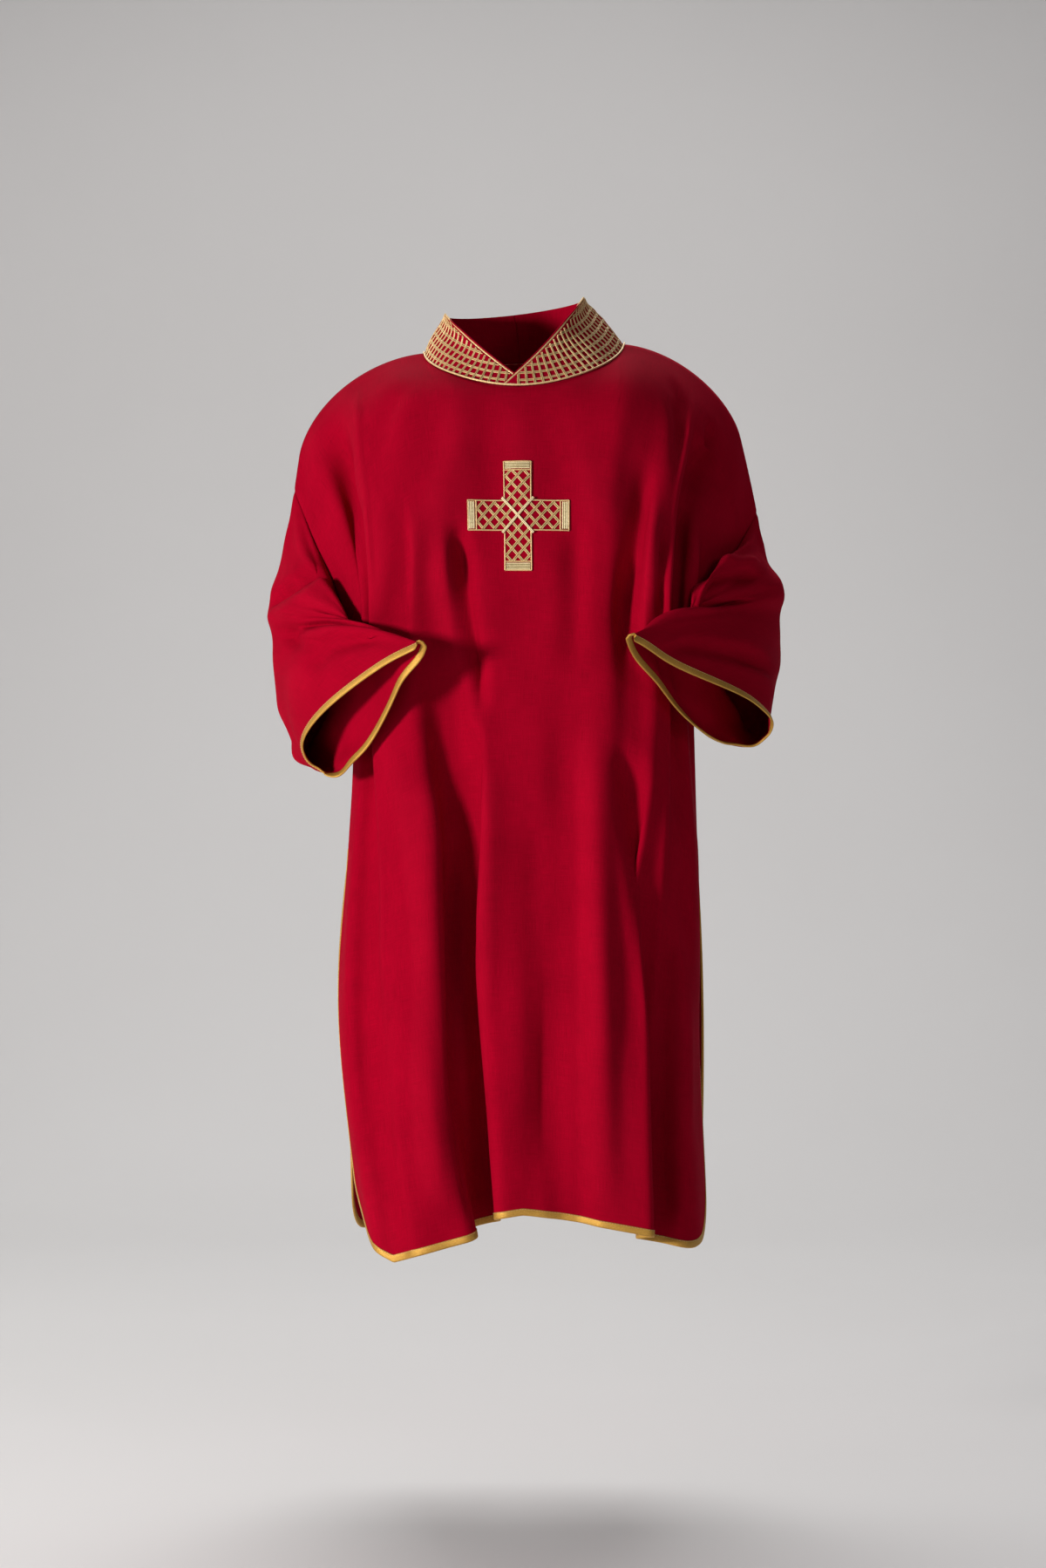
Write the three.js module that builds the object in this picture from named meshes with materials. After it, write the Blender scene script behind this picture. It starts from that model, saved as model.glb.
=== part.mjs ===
// A dalmatic: a wide, sleeved over-tunic with open sides, held in its worn form.
// Millimetres, +Z up, the garment's front towards -Y, its own left towards +X.
// The origin is at the middle of the neck opening, level with the tops of the shoulders.
import * as THREE from "three";

// Driving dimensions of the cut, in millimetres.
const CLOTH = 1.6;
const SEAM_GAP = 0.3;
const PANEL_HALF = 415;
const NECK_HALF = 130;
const CORNER_RADIUS = 110;
const BRAID_WIDTH = 9.5;
const BRAID_PROUD = 0.7;
const COLLAR_THICK = 2.4;
const CORD_RADIUS = 1.3;

// Clear spaces between pieces, in millimetres.
const CUFF_GAP = 0.5;
const EDGE_GAP = 1.5;
const TIP_GAP = 1.5;
const HEM_GAP = 0.6;
const FOOT_CORD_GAP = 0.6;
const COLLAR_LIFT = 0.5;
const MITRE_GAP = 0.45;

// Shares of a panel's length, from the shoulder line at 0 to the hem at 1.
const UNDERARM = 0.34;
const SLIT_TOP = 0.52;
const SLIT_START = 0.012;

// How finely each piece is divided.
const ARMHOLE_ROWS = 12;
const SIDE_ROWS = 4;
const SLIT_ROWS = 9;
const CORNER_COLUMNS = 5;
const COLUMN_BANDS = [
  { from: 0, to: 60, count: 3 },
  { from: 60, to: 104, count: 2 },
  { from: 104, to: 130, count: 3 },
  { from: 130, to: 230, count: 4 },
  { from: 230, to: 305, count: 5 },
];
const SLEEVE_RINGS = 9;
const COLLAR_ROWS = 5;
const COLLAR_COLUMNS = 24;
const CORD_SIDES = 6;
const TRACE_STEPS = 166;
const ROW_STEPS = 200;
const SEARCH_ROUNDS = 16;

// Limits of the drape: how far the folds may be drawn up, how steeply a row may fall, how close to
// the sleeve's six points its rings run, and how near the side seams both panels turn alike.
const FULLEST = 1.6;
const STEEPEST = 0.04;
const ROUNDING = 0.5;
const ALIKE_FROM = 40;
const ALIKE_BY = 12;

// Distances over which slopes and normals are taken: across in millimetres, down as shares.
const SHARE_STEP = 0.002;
const NORMAL_ACROSS = 6;
const NORMAL_DOWN = 0.006;
const CUFF_STEP = 0.02;

const CLOTH_RED = { color: 0x8c0a1e, roughness: 0.85, metalness: 0 };
const BRAID_GOLD = { color: 0xc9a23c, roughness: 0.45, metalness: 0.5 };

const clamp = (x, low, high) => Math.min(high, Math.max(low, x));
const mix = (a, b, share) => a + (b - a) * share;
const ease = (from, to, x) => {
  const k = clamp((x - from) / (to - from), 0, 1);
  return k * k * (3 - 2 * k);
};
const radians = (degrees) => (degrees * Math.PI) / 180;

// The centre line of each panel from the shoulder line down, by its share t of the length. The
// cloth swings towards the side by turn degrees between the shares from and to of its half
// width; neck moves the part behind the neck, and tilt raises the left shoulder.
const PANELS = {
  front: {
    out: -1,
    length: 1175,
    neckDrop: 110,
    corner: { left: 1.2, right: 2.3 },
    sections: [
      { t: 0.0, x: -5, y: 12, z: 2, neck: 0, tilt: 6, turn: 0, from: 0.3, to: 0.9 },
      { t: 0.094, x: -5, y: -108, z: -62, neck: 0, tilt: 2, turn: 38, from: 0.1, to: 0.8 },
      { t: 0.17, x: -5, y: -131, z: -148, neck: 0, tilt: 0, turn: 60, from: 0.25, to: 0.85 },
      { t: 0.26, x: -4, y: -146, z: -252, neck: 0, tilt: 0, turn: 72, from: 0.3, to: 0.85 },
      { t: 0.34, x: -3, y: -145, z: -346, neck: 0, tilt: 0, turn: 72, from: 0.15, to: 0.85 },
      { t: 0.45, x: -2, y: -148, z: -474, neck: 0, tilt: 0, turn: 75, from: 0.2, to: 0.9 },
      { t: 0.55, x: 0, y: -156, z: -591, neck: 0, tilt: 0, turn: 78, from: 0.35, to: 0.95 },
      { t: 0.75, x: 0, y: -162, z: -826, neck: 0, tilt: 0, turn: 78, from: 0.45, to: 0.95 },
      { t: 1.0, x: 0, y: -168, z: -1112, neck: 0, tilt: 0, turn: 70, from: 0.5, to: 0.95 },
    ],
    folds: {
      left: [
        { s: [300, 296], w: [62, 44], inner: [60, 20], outer: [-60, -20], grow: [0.02, 0.14] },
        { s: [125, 105], w: [55, 86], inner: [16, 66], outer: [-16, -66], grow: [0.2, 0.55] },
      ],
      right: [
        { s: [170, 165], w: [55, 45], inner: [22, 0], outer: [-22, 0], grow: [0.06, 0.2] },
        { s: [285, 285], w: [58, 40], inner: [62, 0], outer: [-62, 0], grow: [0.02, 0.14] },
        { s: [72, 72], w: [50, 55], inner: [0, 16], outer: [0, -16], grow: [0.3, 0.6] },
        { s: [230, 255], w: [50, 74], inner: [0, 88], outer: [0, -22], grow: [0.3, 0.8] },
      ],
    },
  },
  back: {
    out: 1,
    length: 1152,
    neckDrop: 22,
    corner: { left: 2, right: 2 },
    sections: [
      { t: 0.0, x: -5, y: 12, z: 2, neck: 66, tilt: 6, turn: 0, from: 0.3, to: 0.9 },
      { t: 0.05, x: -4, y: 62, z: -30, neck: 26, tilt: 4, turn: 20, from: 0.2, to: 0.9 },
      { t: 0.1, x: -3, y: 98, z: -74, neck: 8, tilt: 2, turn: 35, from: 0.2, to: 0.9 },
      { t: 0.17, x: 0, y: 124, z: -148, neck: 0, tilt: 0, turn: 50, from: 0.25, to: 0.9 },
      { t: 0.26, x: 0, y: 138, z: -250, neck: 0, tilt: 0, turn: 65, from: 0.3, to: 0.9 },
      { t: 0.34, x: 0, y: 142, z: -341, neck: 0, tilt: 0, turn: 78, from: 0.35, to: 0.9 },
      { t: 0.45, x: 0, y: 141, z: -467, neck: 0, tilt: 0, turn: 80, from: 0.4, to: 0.95 },
      { t: 0.55, x: 0, y: 142, z: -582, neck: 0, tilt: 0, turn: 80, from: 0.45, to: 0.95 },
      { t: 0.75, x: 0, y: 147, z: -811, neck: 0, tilt: 0, turn: 80, from: 0.5, to: 0.95 },
      { t: 1.0, x: 0, y: 154, z: -1105, neck: 0, tilt: 0, turn: 75, from: 0.5, to: 0.95 },
    ],
    folds: {
      left: [
        { s: [300, 290], w: [60, 60], inner: [40, 20], outer: [-40, -20], grow: [0.04, 0.2] },
        { s: [150, 165], w: [50, 70], inner: [14, 50], outer: [-14, -50], grow: [0.12, 0.5] },
      ],
      right: [
        { s: [290, 300], w: [60, 60], inner: [40, 22], outer: [-40, -22], grow: [0.04, 0.2] },
        { s: [140, 130], w: [50, 74], inner: [14, 50], outer: [-14, -50], grow: [0.12, 0.5] },
      ],
    },
  },
};

// The panels' side edges: each armhole, the side seam that both panels share, and each slit.
const EDGES = {
  left: {
    armholes: {
      front: [
        { t: 0.0, x: -300, y: 8, z: -186 },
        { t: 0.094, x: -272, y: -26, z: -252 },
        { t: 0.17, x: -243, y: -52, z: -315 },
        { t: 0.26, x: -222, y: -58, z: -392 },
        { t: 0.34, x: -222, y: 8, z: -462 },
      ],
      back: [
        { t: 0.0, x: -300, y: 8, z: -186 },
        { t: 0.1, x: -296, y: 66, z: -262 },
        { t: 0.17, x: -280, y: 92, z: -322 },
        { t: 0.26, x: -248, y: 84, z: -402 },
        { t: 0.34, x: -222, y: 8, z: -462 },
      ],
    },
    seam: [
      { t: 0.34, x: -222, y: 8, z: -462 },
      { t: 0.45, x: -224, y: 10, z: -575 },
      { t: 0.52, x: -229, y: 8, z: -648 },
    ],
    slits: {
      front: [
        { t: 0.52, x: -229, y: 8, z: -648 },
        { t: 0.75, x: -239, y: -10, z: -890 },
        { t: 1.0, x: -205, y: -66, z: -1202 },
      ],
      back: [
        { t: 0.52, x: -229, y: 8, z: -648 },
        { t: 0.75, x: -232, y: 30, z: -890 },
        { t: 1.0, x: -224, y: 55, z: -1190 },
      ],
    },
  },
  right: {
    armholes: {
      front: [
        { t: 0.0, x: 307, y: 8, z: -215 },
        { t: 0.094, x: 276, y: -28, z: -268 },
        { t: 0.17, x: 245, y: -54, z: -326 },
        { t: 0.26, x: 224, y: -60, z: -398 },
        { t: 0.34, x: 224, y: 8, z: -465 },
      ],
      back: [
        { t: 0.0, x: 307, y: 8, z: -215 },
        { t: 0.1, x: 302, y: 64, z: -286 },
        { t: 0.17, x: 285, y: 92, z: -338 },
        { t: 0.26, x: 252, y: 84, z: -408 },
        { t: 0.34, x: 224, y: 8, z: -465 },
      ],
    },
    seam: [
      { t: 0.34, x: 224, y: 8, z: -465 },
      { t: 0.45, x: 227, y: 10, z: -577 },
      { t: 0.52, x: 229, y: 14, z: -648 },
    ],
    slits: {
      front: [
        { t: 0.52, x: 229, y: 14, z: -648 },
        { t: 0.75, x: 230, y: 18, z: -888 },
        { t: 1.0, x: 241, y: -20, z: -1180 },
      ],
      back: [
        { t: 0.52, x: 229, y: 14, z: -648 },
        { t: 0.75, x: 238, y: 36, z: -890 },
        { t: 1.0, x: 230, y: 55, z: -1180 },
      ],
    },
  },
};

// Each sleeve's rings from near the armhole to the cuff, by six points round the cloth: over the
// arm, down the inner side to the lowest point, and up the outer side. u is the share of the way.
const SLEEVES = {
  right: [
    { u: 0.25, top: [-320, 8, -268], inner: [-262, -62, -285], innerLow: [-232, -72, -372],
      low: [-258, 40, -515], outerLow: [-300, 88, -440], outer: [-322, 76, -345] },
    { u: 0.5, top: [-326, -28, -335], inner: [-232, -112, -335], innerLow: [-212, -108, -410],
      low: [-290, 48, -550], outerLow: [-318, 55, -480], outer: [-330, 20, -395] },
    { u: 0.75, top: [-205, -150, -358], inner: [-168, -150, -410], innerLow: [-210, -100, -490],
      low: [-268, -15, -562], outerLow: [-305, -20, -500], outer: [-292, -75, -400] },
    { u: 1.0, top: [-110, -232, -386], inner: [-153, -175, -450], innerLow: [-203, -121, -539],
      low: [-252, -75, -562], outerLow: [-292, -90, -520], outer: [-224, -165, -452] },
  ],
  left: [
    { u: 0.25, top: [322, 5, -265], inner: [268, -60, -266], innerLow: [238, -82, -350],
      low: [262, 45, -500], outerLow: [305, 90, -425], outer: [325, 78, -335] },
    { u: 0.5, top: [333, -25, -310], inner: [232, -114, -300], innerLow: [224, -112, -385],
      low: [300, 62, -517], outerLow: [330, 60, -445], outer: [339, 25, -362] },
    { u: 0.75, top: [200, -150, -345], inner: [172, -140, -400], innerLow: [222, -72, -498],
      low: [312, 10, -522], outerLow: [332, -20, -455], outer: [285, -95, -382] },
    { u: 1.0, top: [117, -232, -377], inner: [176, -140, -460], innerLow: [264, -60, -531],
      low: [329, -60, -502], outerLow: [300, -105, -462], outer: [186, -180, -419] },
  ],
};
const RING_POINTS = ["top", "inner", "innerLow", "low", "outerLow", "outer"];

// A smooth curve through a table's rows: the value of one column at x.
function along(rows, at, column, x) {
  let i = 0;
  while (i < rows.length - 2 && x > rows[i + 1][at]) i += 1;
  const span = rows[i + 1][at] - rows[i][at];
  const k = clamp((x - rows[i][at]) / span, 0, 1);
  const slope = (j) => {
    const a = Math.max(0, j - 1);
    const b = Math.min(rows.length - 1, j + 1);
    return (rows[b][column] - rows[a][column]) / (rows[b][at] - rows[a][at]);
  };
  const [p, q] = [rows[i][column], rows[i + 1][column]];
  return (
    p * (1 + 2 * k) * (1 - k) ** 2 + q * (3 - 2 * k) * k ** 2 +
    span * (slope(i) * k * (1 - k) ** 2 - slope(i + 1) * (1 - k) * k ** 2)
  );
}

// How far the cloth of a row has dropped towards its edge, as a share of the edge's whole drop.
function dropShare(share, t) {
  const overShoulder = Math.max(0, (share - 0.3) / 0.7) ** 1.7;
  const overChest = mix(overShoulder, ease(0.2, 1, share), ease(0, 0.3, t));
  return mix(overChest, share ** 1.2, ease(0.5, 1, t));
}

// The heading in degrees that the folds add at distance s from the centre line.
function foldTurn(folds, s, t) {
  let turn = 0;
  for (const fold of folds) {
    const centre = mix(fold.s[0], fold.s[1], t);
    const width = mix(fold.w[0], fold.w[1], t);
    const x = (s - centre) / width;
    if (Math.abs(x) >= 1) continue;
    const flank = x < 0 ? fold.inner : fold.outer;
    const depth = mix(flank[0], flank[1], t) * ease(fold.grow[0], fold.grow[1], t);
    turn += depth * Math.sin(Math.PI * x) ** 2;
  }
  return turn;
}

// Walks half a row from its centre line to its edge, turning with the body and the folds.
function walk(panel, side, row, t, fullness) {
  const step = PANEL_HALF / TRACE_STEPS;
  const points = [[0, 0]];
  let [x, y] = [0, 0];
  for (let i = 0; i < TRACE_STEPS; i += 1) {
    const share = (i + 0.5) / TRACE_STEPS;
    const s = share * PANEL_HALF;
    const rise = dropShare(share + SHARE_STEP, t) - dropShare(share - SHARE_STEP, t);
    const slope = ((row.edgeZ - row.z) * rise) / (2 * SHARE_STEP * PANEL_HALF);
    const level = Math.sqrt(Math.max(STEEPEST, 1 - slope * slope));
    const turn = row.turn * ease(row.from, row.to, share);
    const heading = radians(turn + fullness * foldTurn(panel.folds[side], s, t));
    x += Math.cos(heading) * level * step;
    y += Math.sin(heading) * level * step;
    points.push([x, y]);
  }
  return points;
}

// Where the side edge of a panel runs at t.
function edgeAt(name, side, t) {
  const edges = EDGES[side];
  let rows = edges.seam;
  if (t < UNDERARM) rows = edges.armholes[name];
  if (t > SLIT_TOP) rows = edges.slits[name];
  return { x: along(rows, "t", "x", t), y: along(rows, "t", "y", t), z: along(rows, "t", "z", t) };
}

// Half a row of a panel, with its folds drawn up until it just spans to the edge.
const rowCache = new Map();
function halfRow(name, side, step) {
  const key = `${name} ${side} ${step}`;
  if (rowCache.has(key)) return rowCache.get(key);
  const panel = PANELS[name];
  const t = step / ROW_STEPS;
  const row = { t, edge: edgeAt(name, side, t) };
  for (const column of ["x", "y", "z", "neck", "tilt", "turn", "from", "to"]) {
    row[column] = along(panel.sections, "t", column, t);
  }
  row.edgeZ = row.edge.z;
  row.reach = Math.abs(row.edge.x - row.x);
  let [low, high] = [0, FULLEST];
  for (let i = 0; i < SEARCH_ROUNDS; i += 1) {
    const middle = (low + high) / 2;
    const end = walk(panel, side, row, t, middle)[TRACE_STEPS];
    if (end[0] > row.reach) low = middle;
    else high = middle;
  }
  row.fullness = low;
  row.points = walk(panel, side, row, t, low);
  row.end = row.points[TRACE_STEPS];
  rowCache.set(key, row);
  return row;
}

// A point of one traced row, s across from the centre line.
function rowPoint(name, s, step) {
  const row = halfRow(name, s < 0 ? "left" : "right", step);
  const share = Math.abs(s) / PANEL_HALF;
  const at = clamp(share * TRACE_STEPS, 0, TRACE_STEPS - 1e-6);
  const i = Math.floor(at);
  const x = mix(row.points[i][0], row.points[i + 1][0], at - i);
  const y = mix(row.points[i][1], row.points[i + 1][1], at - i);
  const back = -PANELS[name].out;
  const fixY = (row.edge.y - row.y) * back - row.end[1];
  const nearNeck = Math.max(0, 1 - (s / NECK_HALF) ** 2);
  const lift = row.tilt * clamp(s / NECK_HALF, -1, 1) * (1 - ease(0.3, 0.9, share));
  return new THREE.Vector3(
    row.x + Math.sign(s) * (x + (row.reach - row.end[0]) * share),
    row.y + back * (y + fixY * share ** 2) + row.neck * nearNeck,
    row.z + lift + (row.edgeZ - row.z) * dropShare(share, row.t),
  );
}

// A point of a body panel: s across from the centre line, t down from the shoulder line.
function bodyPoint(name, s, t) {
  const at = clamp(t * ROW_STEPS, 0, ROW_STEPS);
  const step = Math.min(ROW_STEPS - 1, Math.floor(at));
  return rowPoint(name, s, step).lerp(rowPoint(name, s, step + 1), at - step);
}

// The outward normal of a panel at s and t, from points close by.
function ownNormal(name, s, t) {
  const [low, high] = [Math.max(-PANEL_HALF, s - NORMAL_ACROSS), Math.min(PANEL_HALF, s + NORMAL_ACROSS)];
  const [above, below] = [Math.max(0, t - NORMAL_DOWN), Math.min(1, t + NORMAL_DOWN)];
  const across = bodyPoint(name, high, t).sub(bodyPoint(name, low, t));
  const down = bodyPoint(name, s, below).sub(bodyPoint(name, s, above));
  return across.cross(down).normalize().multiplyScalar(PANELS[name].out);
}

// The same, made alike in both panels where they meet: on the shoulders and at the side seams.
function bodyNormal(name, s, t) {
  const own = ownNormal(name, s, t);
  const atSide = ease(PANEL_HALF - ALIKE_FROM, PANEL_HALF - ALIKE_BY, Math.abs(s));
  const aboveSlit = 1 - ease(SLIT_TOP + 0.02, SLIT_TOP + 0.16, t);
  const onSeam = ease(UNDERARM - 0.04, UNDERARM - 0.01, t) * aboveSlit;
  const onShoulder = 1 - ease(0, 0.03, t);
  const share = Math.max(atSide * onSeam, onShoulder);
  if (share === 0) return own;
  const edge = onShoulder > 0 ? s : Math.sign(s) * PANEL_HALF;
  const at = onShoulder > 0 ? 0 : t;
  const both = ownNormal("front", edge, at).add(ownNormal("back", edge, at)).normalize();
  return own.lerp(both, share).normalize();
}

// The shares of the length at which a panel's cloth starts and ends in a column.
const neckShare = (panel, s) =>
  (panel.neckDrop / panel.length) * Math.sqrt(Math.max(0, 1 - (s / NECK_HALF) ** 2));
function hemShare(panel, s, inset) {
  const radius = CORNER_RADIUS - inset;
  const past = clamp((Math.abs(s) - (PANEL_HALF - CORNER_RADIUS)) / CORNER_RADIUS, 0, 1);
  const power = panel.corner[s < 0 ? "left" : "right"];
  const rise = radius * (1 - (1 - past ** power) ** (1 / power)) + inset;
  return 1 - rise / panel.length;
}

// The place in the cut of a panel's column s and row t, inset from its bound edges.
function place(name, s, t, inset) {
  const panel = PANELS[name];
  const bound = t > SLIT_TOP ? inset : SEAM_GAP / 2;
  const past = Math.max(0, Math.abs(s) - (PANEL_HALF - CORNER_RADIUS)) / CORNER_RADIUS;
  const across = s - Math.sign(s) * bound * past;
  const top = neckShare(panel, s) + (Math.abs(s) >= NECK_HALF ? SEAM_GAP / 2 : 0) / panel.length;
  const bottom = hemShare(panel, s, inset);
  if (t < SLIT_TOP) return [across, top + t * (1 - top / SLIT_TOP)];
  return [across, mix(SLIT_TOP, bottom, (t - SLIT_TOP) / (1 - SLIT_TOP))];
}

// A grid of points and normals of a piece, row by row.
class Sheet {
  constructor(rows, closed = false) {
    this.points = rows.map((row) => row.map((cell) => cell.point));
    this.normals = rows.map((row) => row.map((cell) => cell.normal));
    this.closed = closed;
  }

  // Normals from the sheet's own shape.
  shapeNormals(out) {
    const [rows, columns] = [this.points.length, this.points[0].length];
    for (let j = 0; j < rows; j += 1) {
      for (let i = 0; i < columns; i += 1) {
        const next = this.closed ? (i + 1) % columns : Math.min(columns - 1, i + 1);
        const before = this.closed ? (i + columns - 1) % columns : Math.max(0, i - 1);
        const across = this.points[j][next].clone().sub(this.points[j][before]);
        const below = this.points[Math.min(rows - 1, j + 1)][i];
        const down = below.clone().sub(this.points[Math.max(0, j - 1)][i]);
        this.normals[j][i] = across.cross(down).normalize().multiplyScalar(out);
      }
    }
    return this;
  }

  // The closed wall between the sheet moved out and the sheet moved in.
  wall(inwards, outwards = 0) {
    const [rows, columns] = [this.points.length, this.points[0].length];
    const points = [];
    for (const offset of [outwards, -inwards]) {
      this.points.forEach((row, j) =>
        row.forEach((p, i) => points.push(p.clone().addScaledVector(this.normals[j][i], offset))),
      );
    }
    const size = rows * columns;
    const index = [];
    const quad = (a, b, c, d) => index.push(a, b, c, a, c, d);
    const last = this.closed ? columns : columns - 1;
    for (let i = 0; i < last; i += 1) {
      const next = (i + 1) % columns;
      for (let j = 0; j < rows - 1; j += 1) {
        const [a, b] = [j * columns + i, j * columns + next];
        quad(a, b, b + columns, a + columns);
        quad(size + a, size + a + columns, size + b + columns, size + b);
      }
      const foot = size - columns;
      quad(next, i, size + i, size + next);
      quad(foot + i, foot + next, size + foot + next, size + foot + i);
    }
    for (let j = 0; !this.closed && j < rows - 1; j += 1) {
      const [a, b] = [j * columns, (j + 1) * columns];
      quad(a, b, size + b, size + a);
      quad(b + columns - 1, a + columns - 1, size + a + columns - 1, size + b + columns - 1);
    }
    return solid(points, index);
  }
}

// A geometry from points and triangles, turned so that its faces point out.
function solid(points, index) {
  let volume = 0;
  for (let i = 0; i < index.length; i += 3) {
    const [a, b, c] = [points[index[i]], points[index[i + 1]], points[index[i + 2]]];
    volume += a.dot(b.clone().cross(c));
  }
  const facing = volume < 0 ? index.slice().reverse() : index;
  const flat = points.flatMap((p) => [p.x, p.y, p.z]);
  const geometry = new THREE.BufferGeometry();
  geometry.setAttribute("position", new THREE.Float32BufferAttribute(flat, 3));
  geometry.setIndex(facing);
  return geometry;
}

const group = new THREE.Group();
group.name = "dalmatic";
function add(name, geometry, look) {
  const mesh = new THREE.Mesh(geometry, new THREE.MeshStandardMaterial(look));
  mesh.name = name;
  group.add(mesh);
}

// The columns of a body panel, closer together round the lower corners.
const COLUMNS = [0];
for (const band of COLUMN_BANDS) {
  for (let i = 1; i <= band.count; i += 1) {
    const s = mix(band.from, band.to, i / band.count);
    COLUMNS.push(s);
    COLUMNS.unshift(-s);
  }
}
for (let i = 1; i <= CORNER_COLUMNS; i += 1) {
  const s = PANEL_HALF - CORNER_RADIUS * (1 - Math.sin((i / CORNER_COLUMNS) * (Math.PI / 2)));
  COLUMNS.push(s);
  COLUMNS.unshift(-s);
}

// The rows of a body panel: the armhole, the closed side seam, then the open slit.
const ARMHOLE = [];
for (let j = 0; j <= ARMHOLE_ROWS; j += 1) ARMHOLE.push((UNDERARM * j) / ARMHOLE_ROWS);
const SEAM = [];
for (let j = 1; j <= SIDE_ROWS; j += 1) SEAM.push(mix(UNDERARM, SLIT_TOP, j / SIDE_ROWS));
const SLIT = [];
for (let j = 0; j <= SLIT_ROWS; j += 1) SLIT.push(mix(SLIT_TOP + SLIT_START, 1, j / SLIT_ROWS));

// A cell of a panel: its point and normal at column s and row t, inset from the bound edges.
function cell(name, s, t, inset) {
  const [across, down] = place(name, s, t, inset);
  return { point: bodyPoint(name, across, down), normal: bodyNormal(name, across, down) };
}

const ROWS = [...ARMHOLE, ...SEAM, ...SLIT];
const panelSheet = (name) =>
  new Sheet(ROWS.map((t) => COLUMNS.map((s) => cell(name, s, t, BRAID_WIDTH))));

const panels = { front: panelSheet("front"), back: panelSheet("back") };

// The braid that closes a panel's slits and hem, from one slit top round to the other.
function edgeBraid(name) {
  const path = [
    ...SLIT.map((t) => [-PANEL_HALF, t]),
    ...COLUMNS.slice(1, -1).map((s) => [s, 1]),
    ...SLIT.map((t) => [PANEL_HALF, t]).reverse(),
  ];
  const insets = [BRAID_WIDTH - HEM_GAP, SEAM_GAP / 2];
  return new Sheet(insets.map((inset) => path.map(([s, t]) => cell(name, s, t, inset))));
}
for (const name of ["front", "back"]) {
  add(`braid_${name}`, edgeBraid(name).wall(CLOTH + BRAID_PROUD, BRAID_PROUD), BRAID_GOLD);
}

// The armhole's loop of corners, from the shoulder down the front's edge and up the back's: the
// panels' own normals there, and the way off the panel along its cloth.
function armholeCorners(side) {
  const column = side === "left" ? 0 : COLUMNS.length - 1;
  const inner = side === "left" ? 1 : column - 1;
  const edge = (name, j) => ({
    sheets: [name],
    row: j,
    point: panels[name].points[j][column].clone(),
    normal: panels[name].normals[j][column].clone(),
    off: panels[name].points[j][column].clone().sub(panels[name].points[j][inner]).normalize(),
  });
  const corners = ARMHOLE.map((_, j) => edge("front", j));
  for (let j = ARMHOLE_ROWS - 1; j > 0; j -= 1) corners.push(edge("back", j));
  for (const j of [0, ARMHOLE_ROWS]) {
    const other = edge("back", j);
    corners[j].sheets = ["front", "back"];
    corners[j].point.lerp(other.point, 0.5);
    corners[j].normal.add(other.normal).normalize();
    corners[j].off.add(other.off).normalize();
  }
  return corners;
}

// The loop with each panel row split in two.
function splitLoop(corners, value) {
  const loop = [];
  corners.forEach((corner, i) => {
    const next = corners[(i + 1) % corners.length];
    for (const k of [0, 0.5]) loop.push(value(corner).clone().lerp(value(next), k));
  });
  return loop;
}

// A point of a closed smooth curve through a ring's six points, v of the way round.
function ringPoint(ring, v) {
  const at = (((v % 1) + 1) % 1) * RING_POINTS.length;
  const i = Math.floor(at);
  const k = at - i;
  const count = RING_POINTS.length;
  const p = [-1, 0, 1, 2].map((d) => ring[RING_POINTS[(i + d + count) % count]]);
  return new THREE.Vector3(
    ...[0, 1, 2].map((c) => {
      const [a, b, d, e] = p.map((point) => point[c]);
      const bend = 2 * a - 5 * b + 4 * d - e + k * (3 * (b - d) + e - a);
      const through = b + 0.5 * k * (d - a + k * bend);
      const cubes = a * (1 - k) ** 3 + b * (3 * k ** 3 - 6 * k ** 2 + 4) + e * k ** 3;
      const near = (cubes + d * (1 + 3 * k + 3 * k ** 2 - 3 * k ** 3)) / 6;
      return mix(through, near, ROUNDING);
    }),
  );
}

// A sleeve's point: v round from the top by its inner side, u from the armhole to the cuff.
function sleevePoint(side, loop, v, u) {
  const rings = SLEEVES[side];
  const first = loop[Math.round(v * loop.length) % loop.length];
  const knots = [{ u: 0, point: first }];
  for (const ring of rings) knots.push({ u: ring.u, point: ringPoint(ring, v) });
  const rows = knots.map((k) => ({ u: k.u, x: k.point.x, y: k.point.y, z: k.point.z }));
  return new THREE.Vector3(...["x", "y", "z"].map((c) => along(rows, "u", c, u)));
}

// The cuff's braid, square to the sleeve's last ring all the way round.
function cuffSheet(sleeve, count) {
  const [rim, before] = [sleeve.points[SLEEVE_RINGS], sleeve.points[SLEEVE_RINGS - 1]];
  const normals = sleeve.normals[SLEEVE_RINGS];
  const ways = rim.map((p, i) => {
    const tangent = rim[(i + 1) % count].clone().sub(rim[(i + count - 1) % count]);
    const way = tangent.cross(normals[i]).normalize();
    return way.multiplyScalar(Math.sign(way.dot(p.clone().sub(before[i]))));
  });
  const rings = [CUFF_GAP, BRAID_WIDTH].map((width) =>
    rim.map((p, i) => {
      const fromTip = Math.min(i, count - i);
      const clear = width === CUFF_GAP ? TIP_GAP * (1 - ease(1, 4, fromTip)) : 0;
      return { point: p.clone().addScaledVector(ways[i], width + clear), normal: normals[i] };
    }),
  );
  return new Sheet(rings, true);
}

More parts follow.
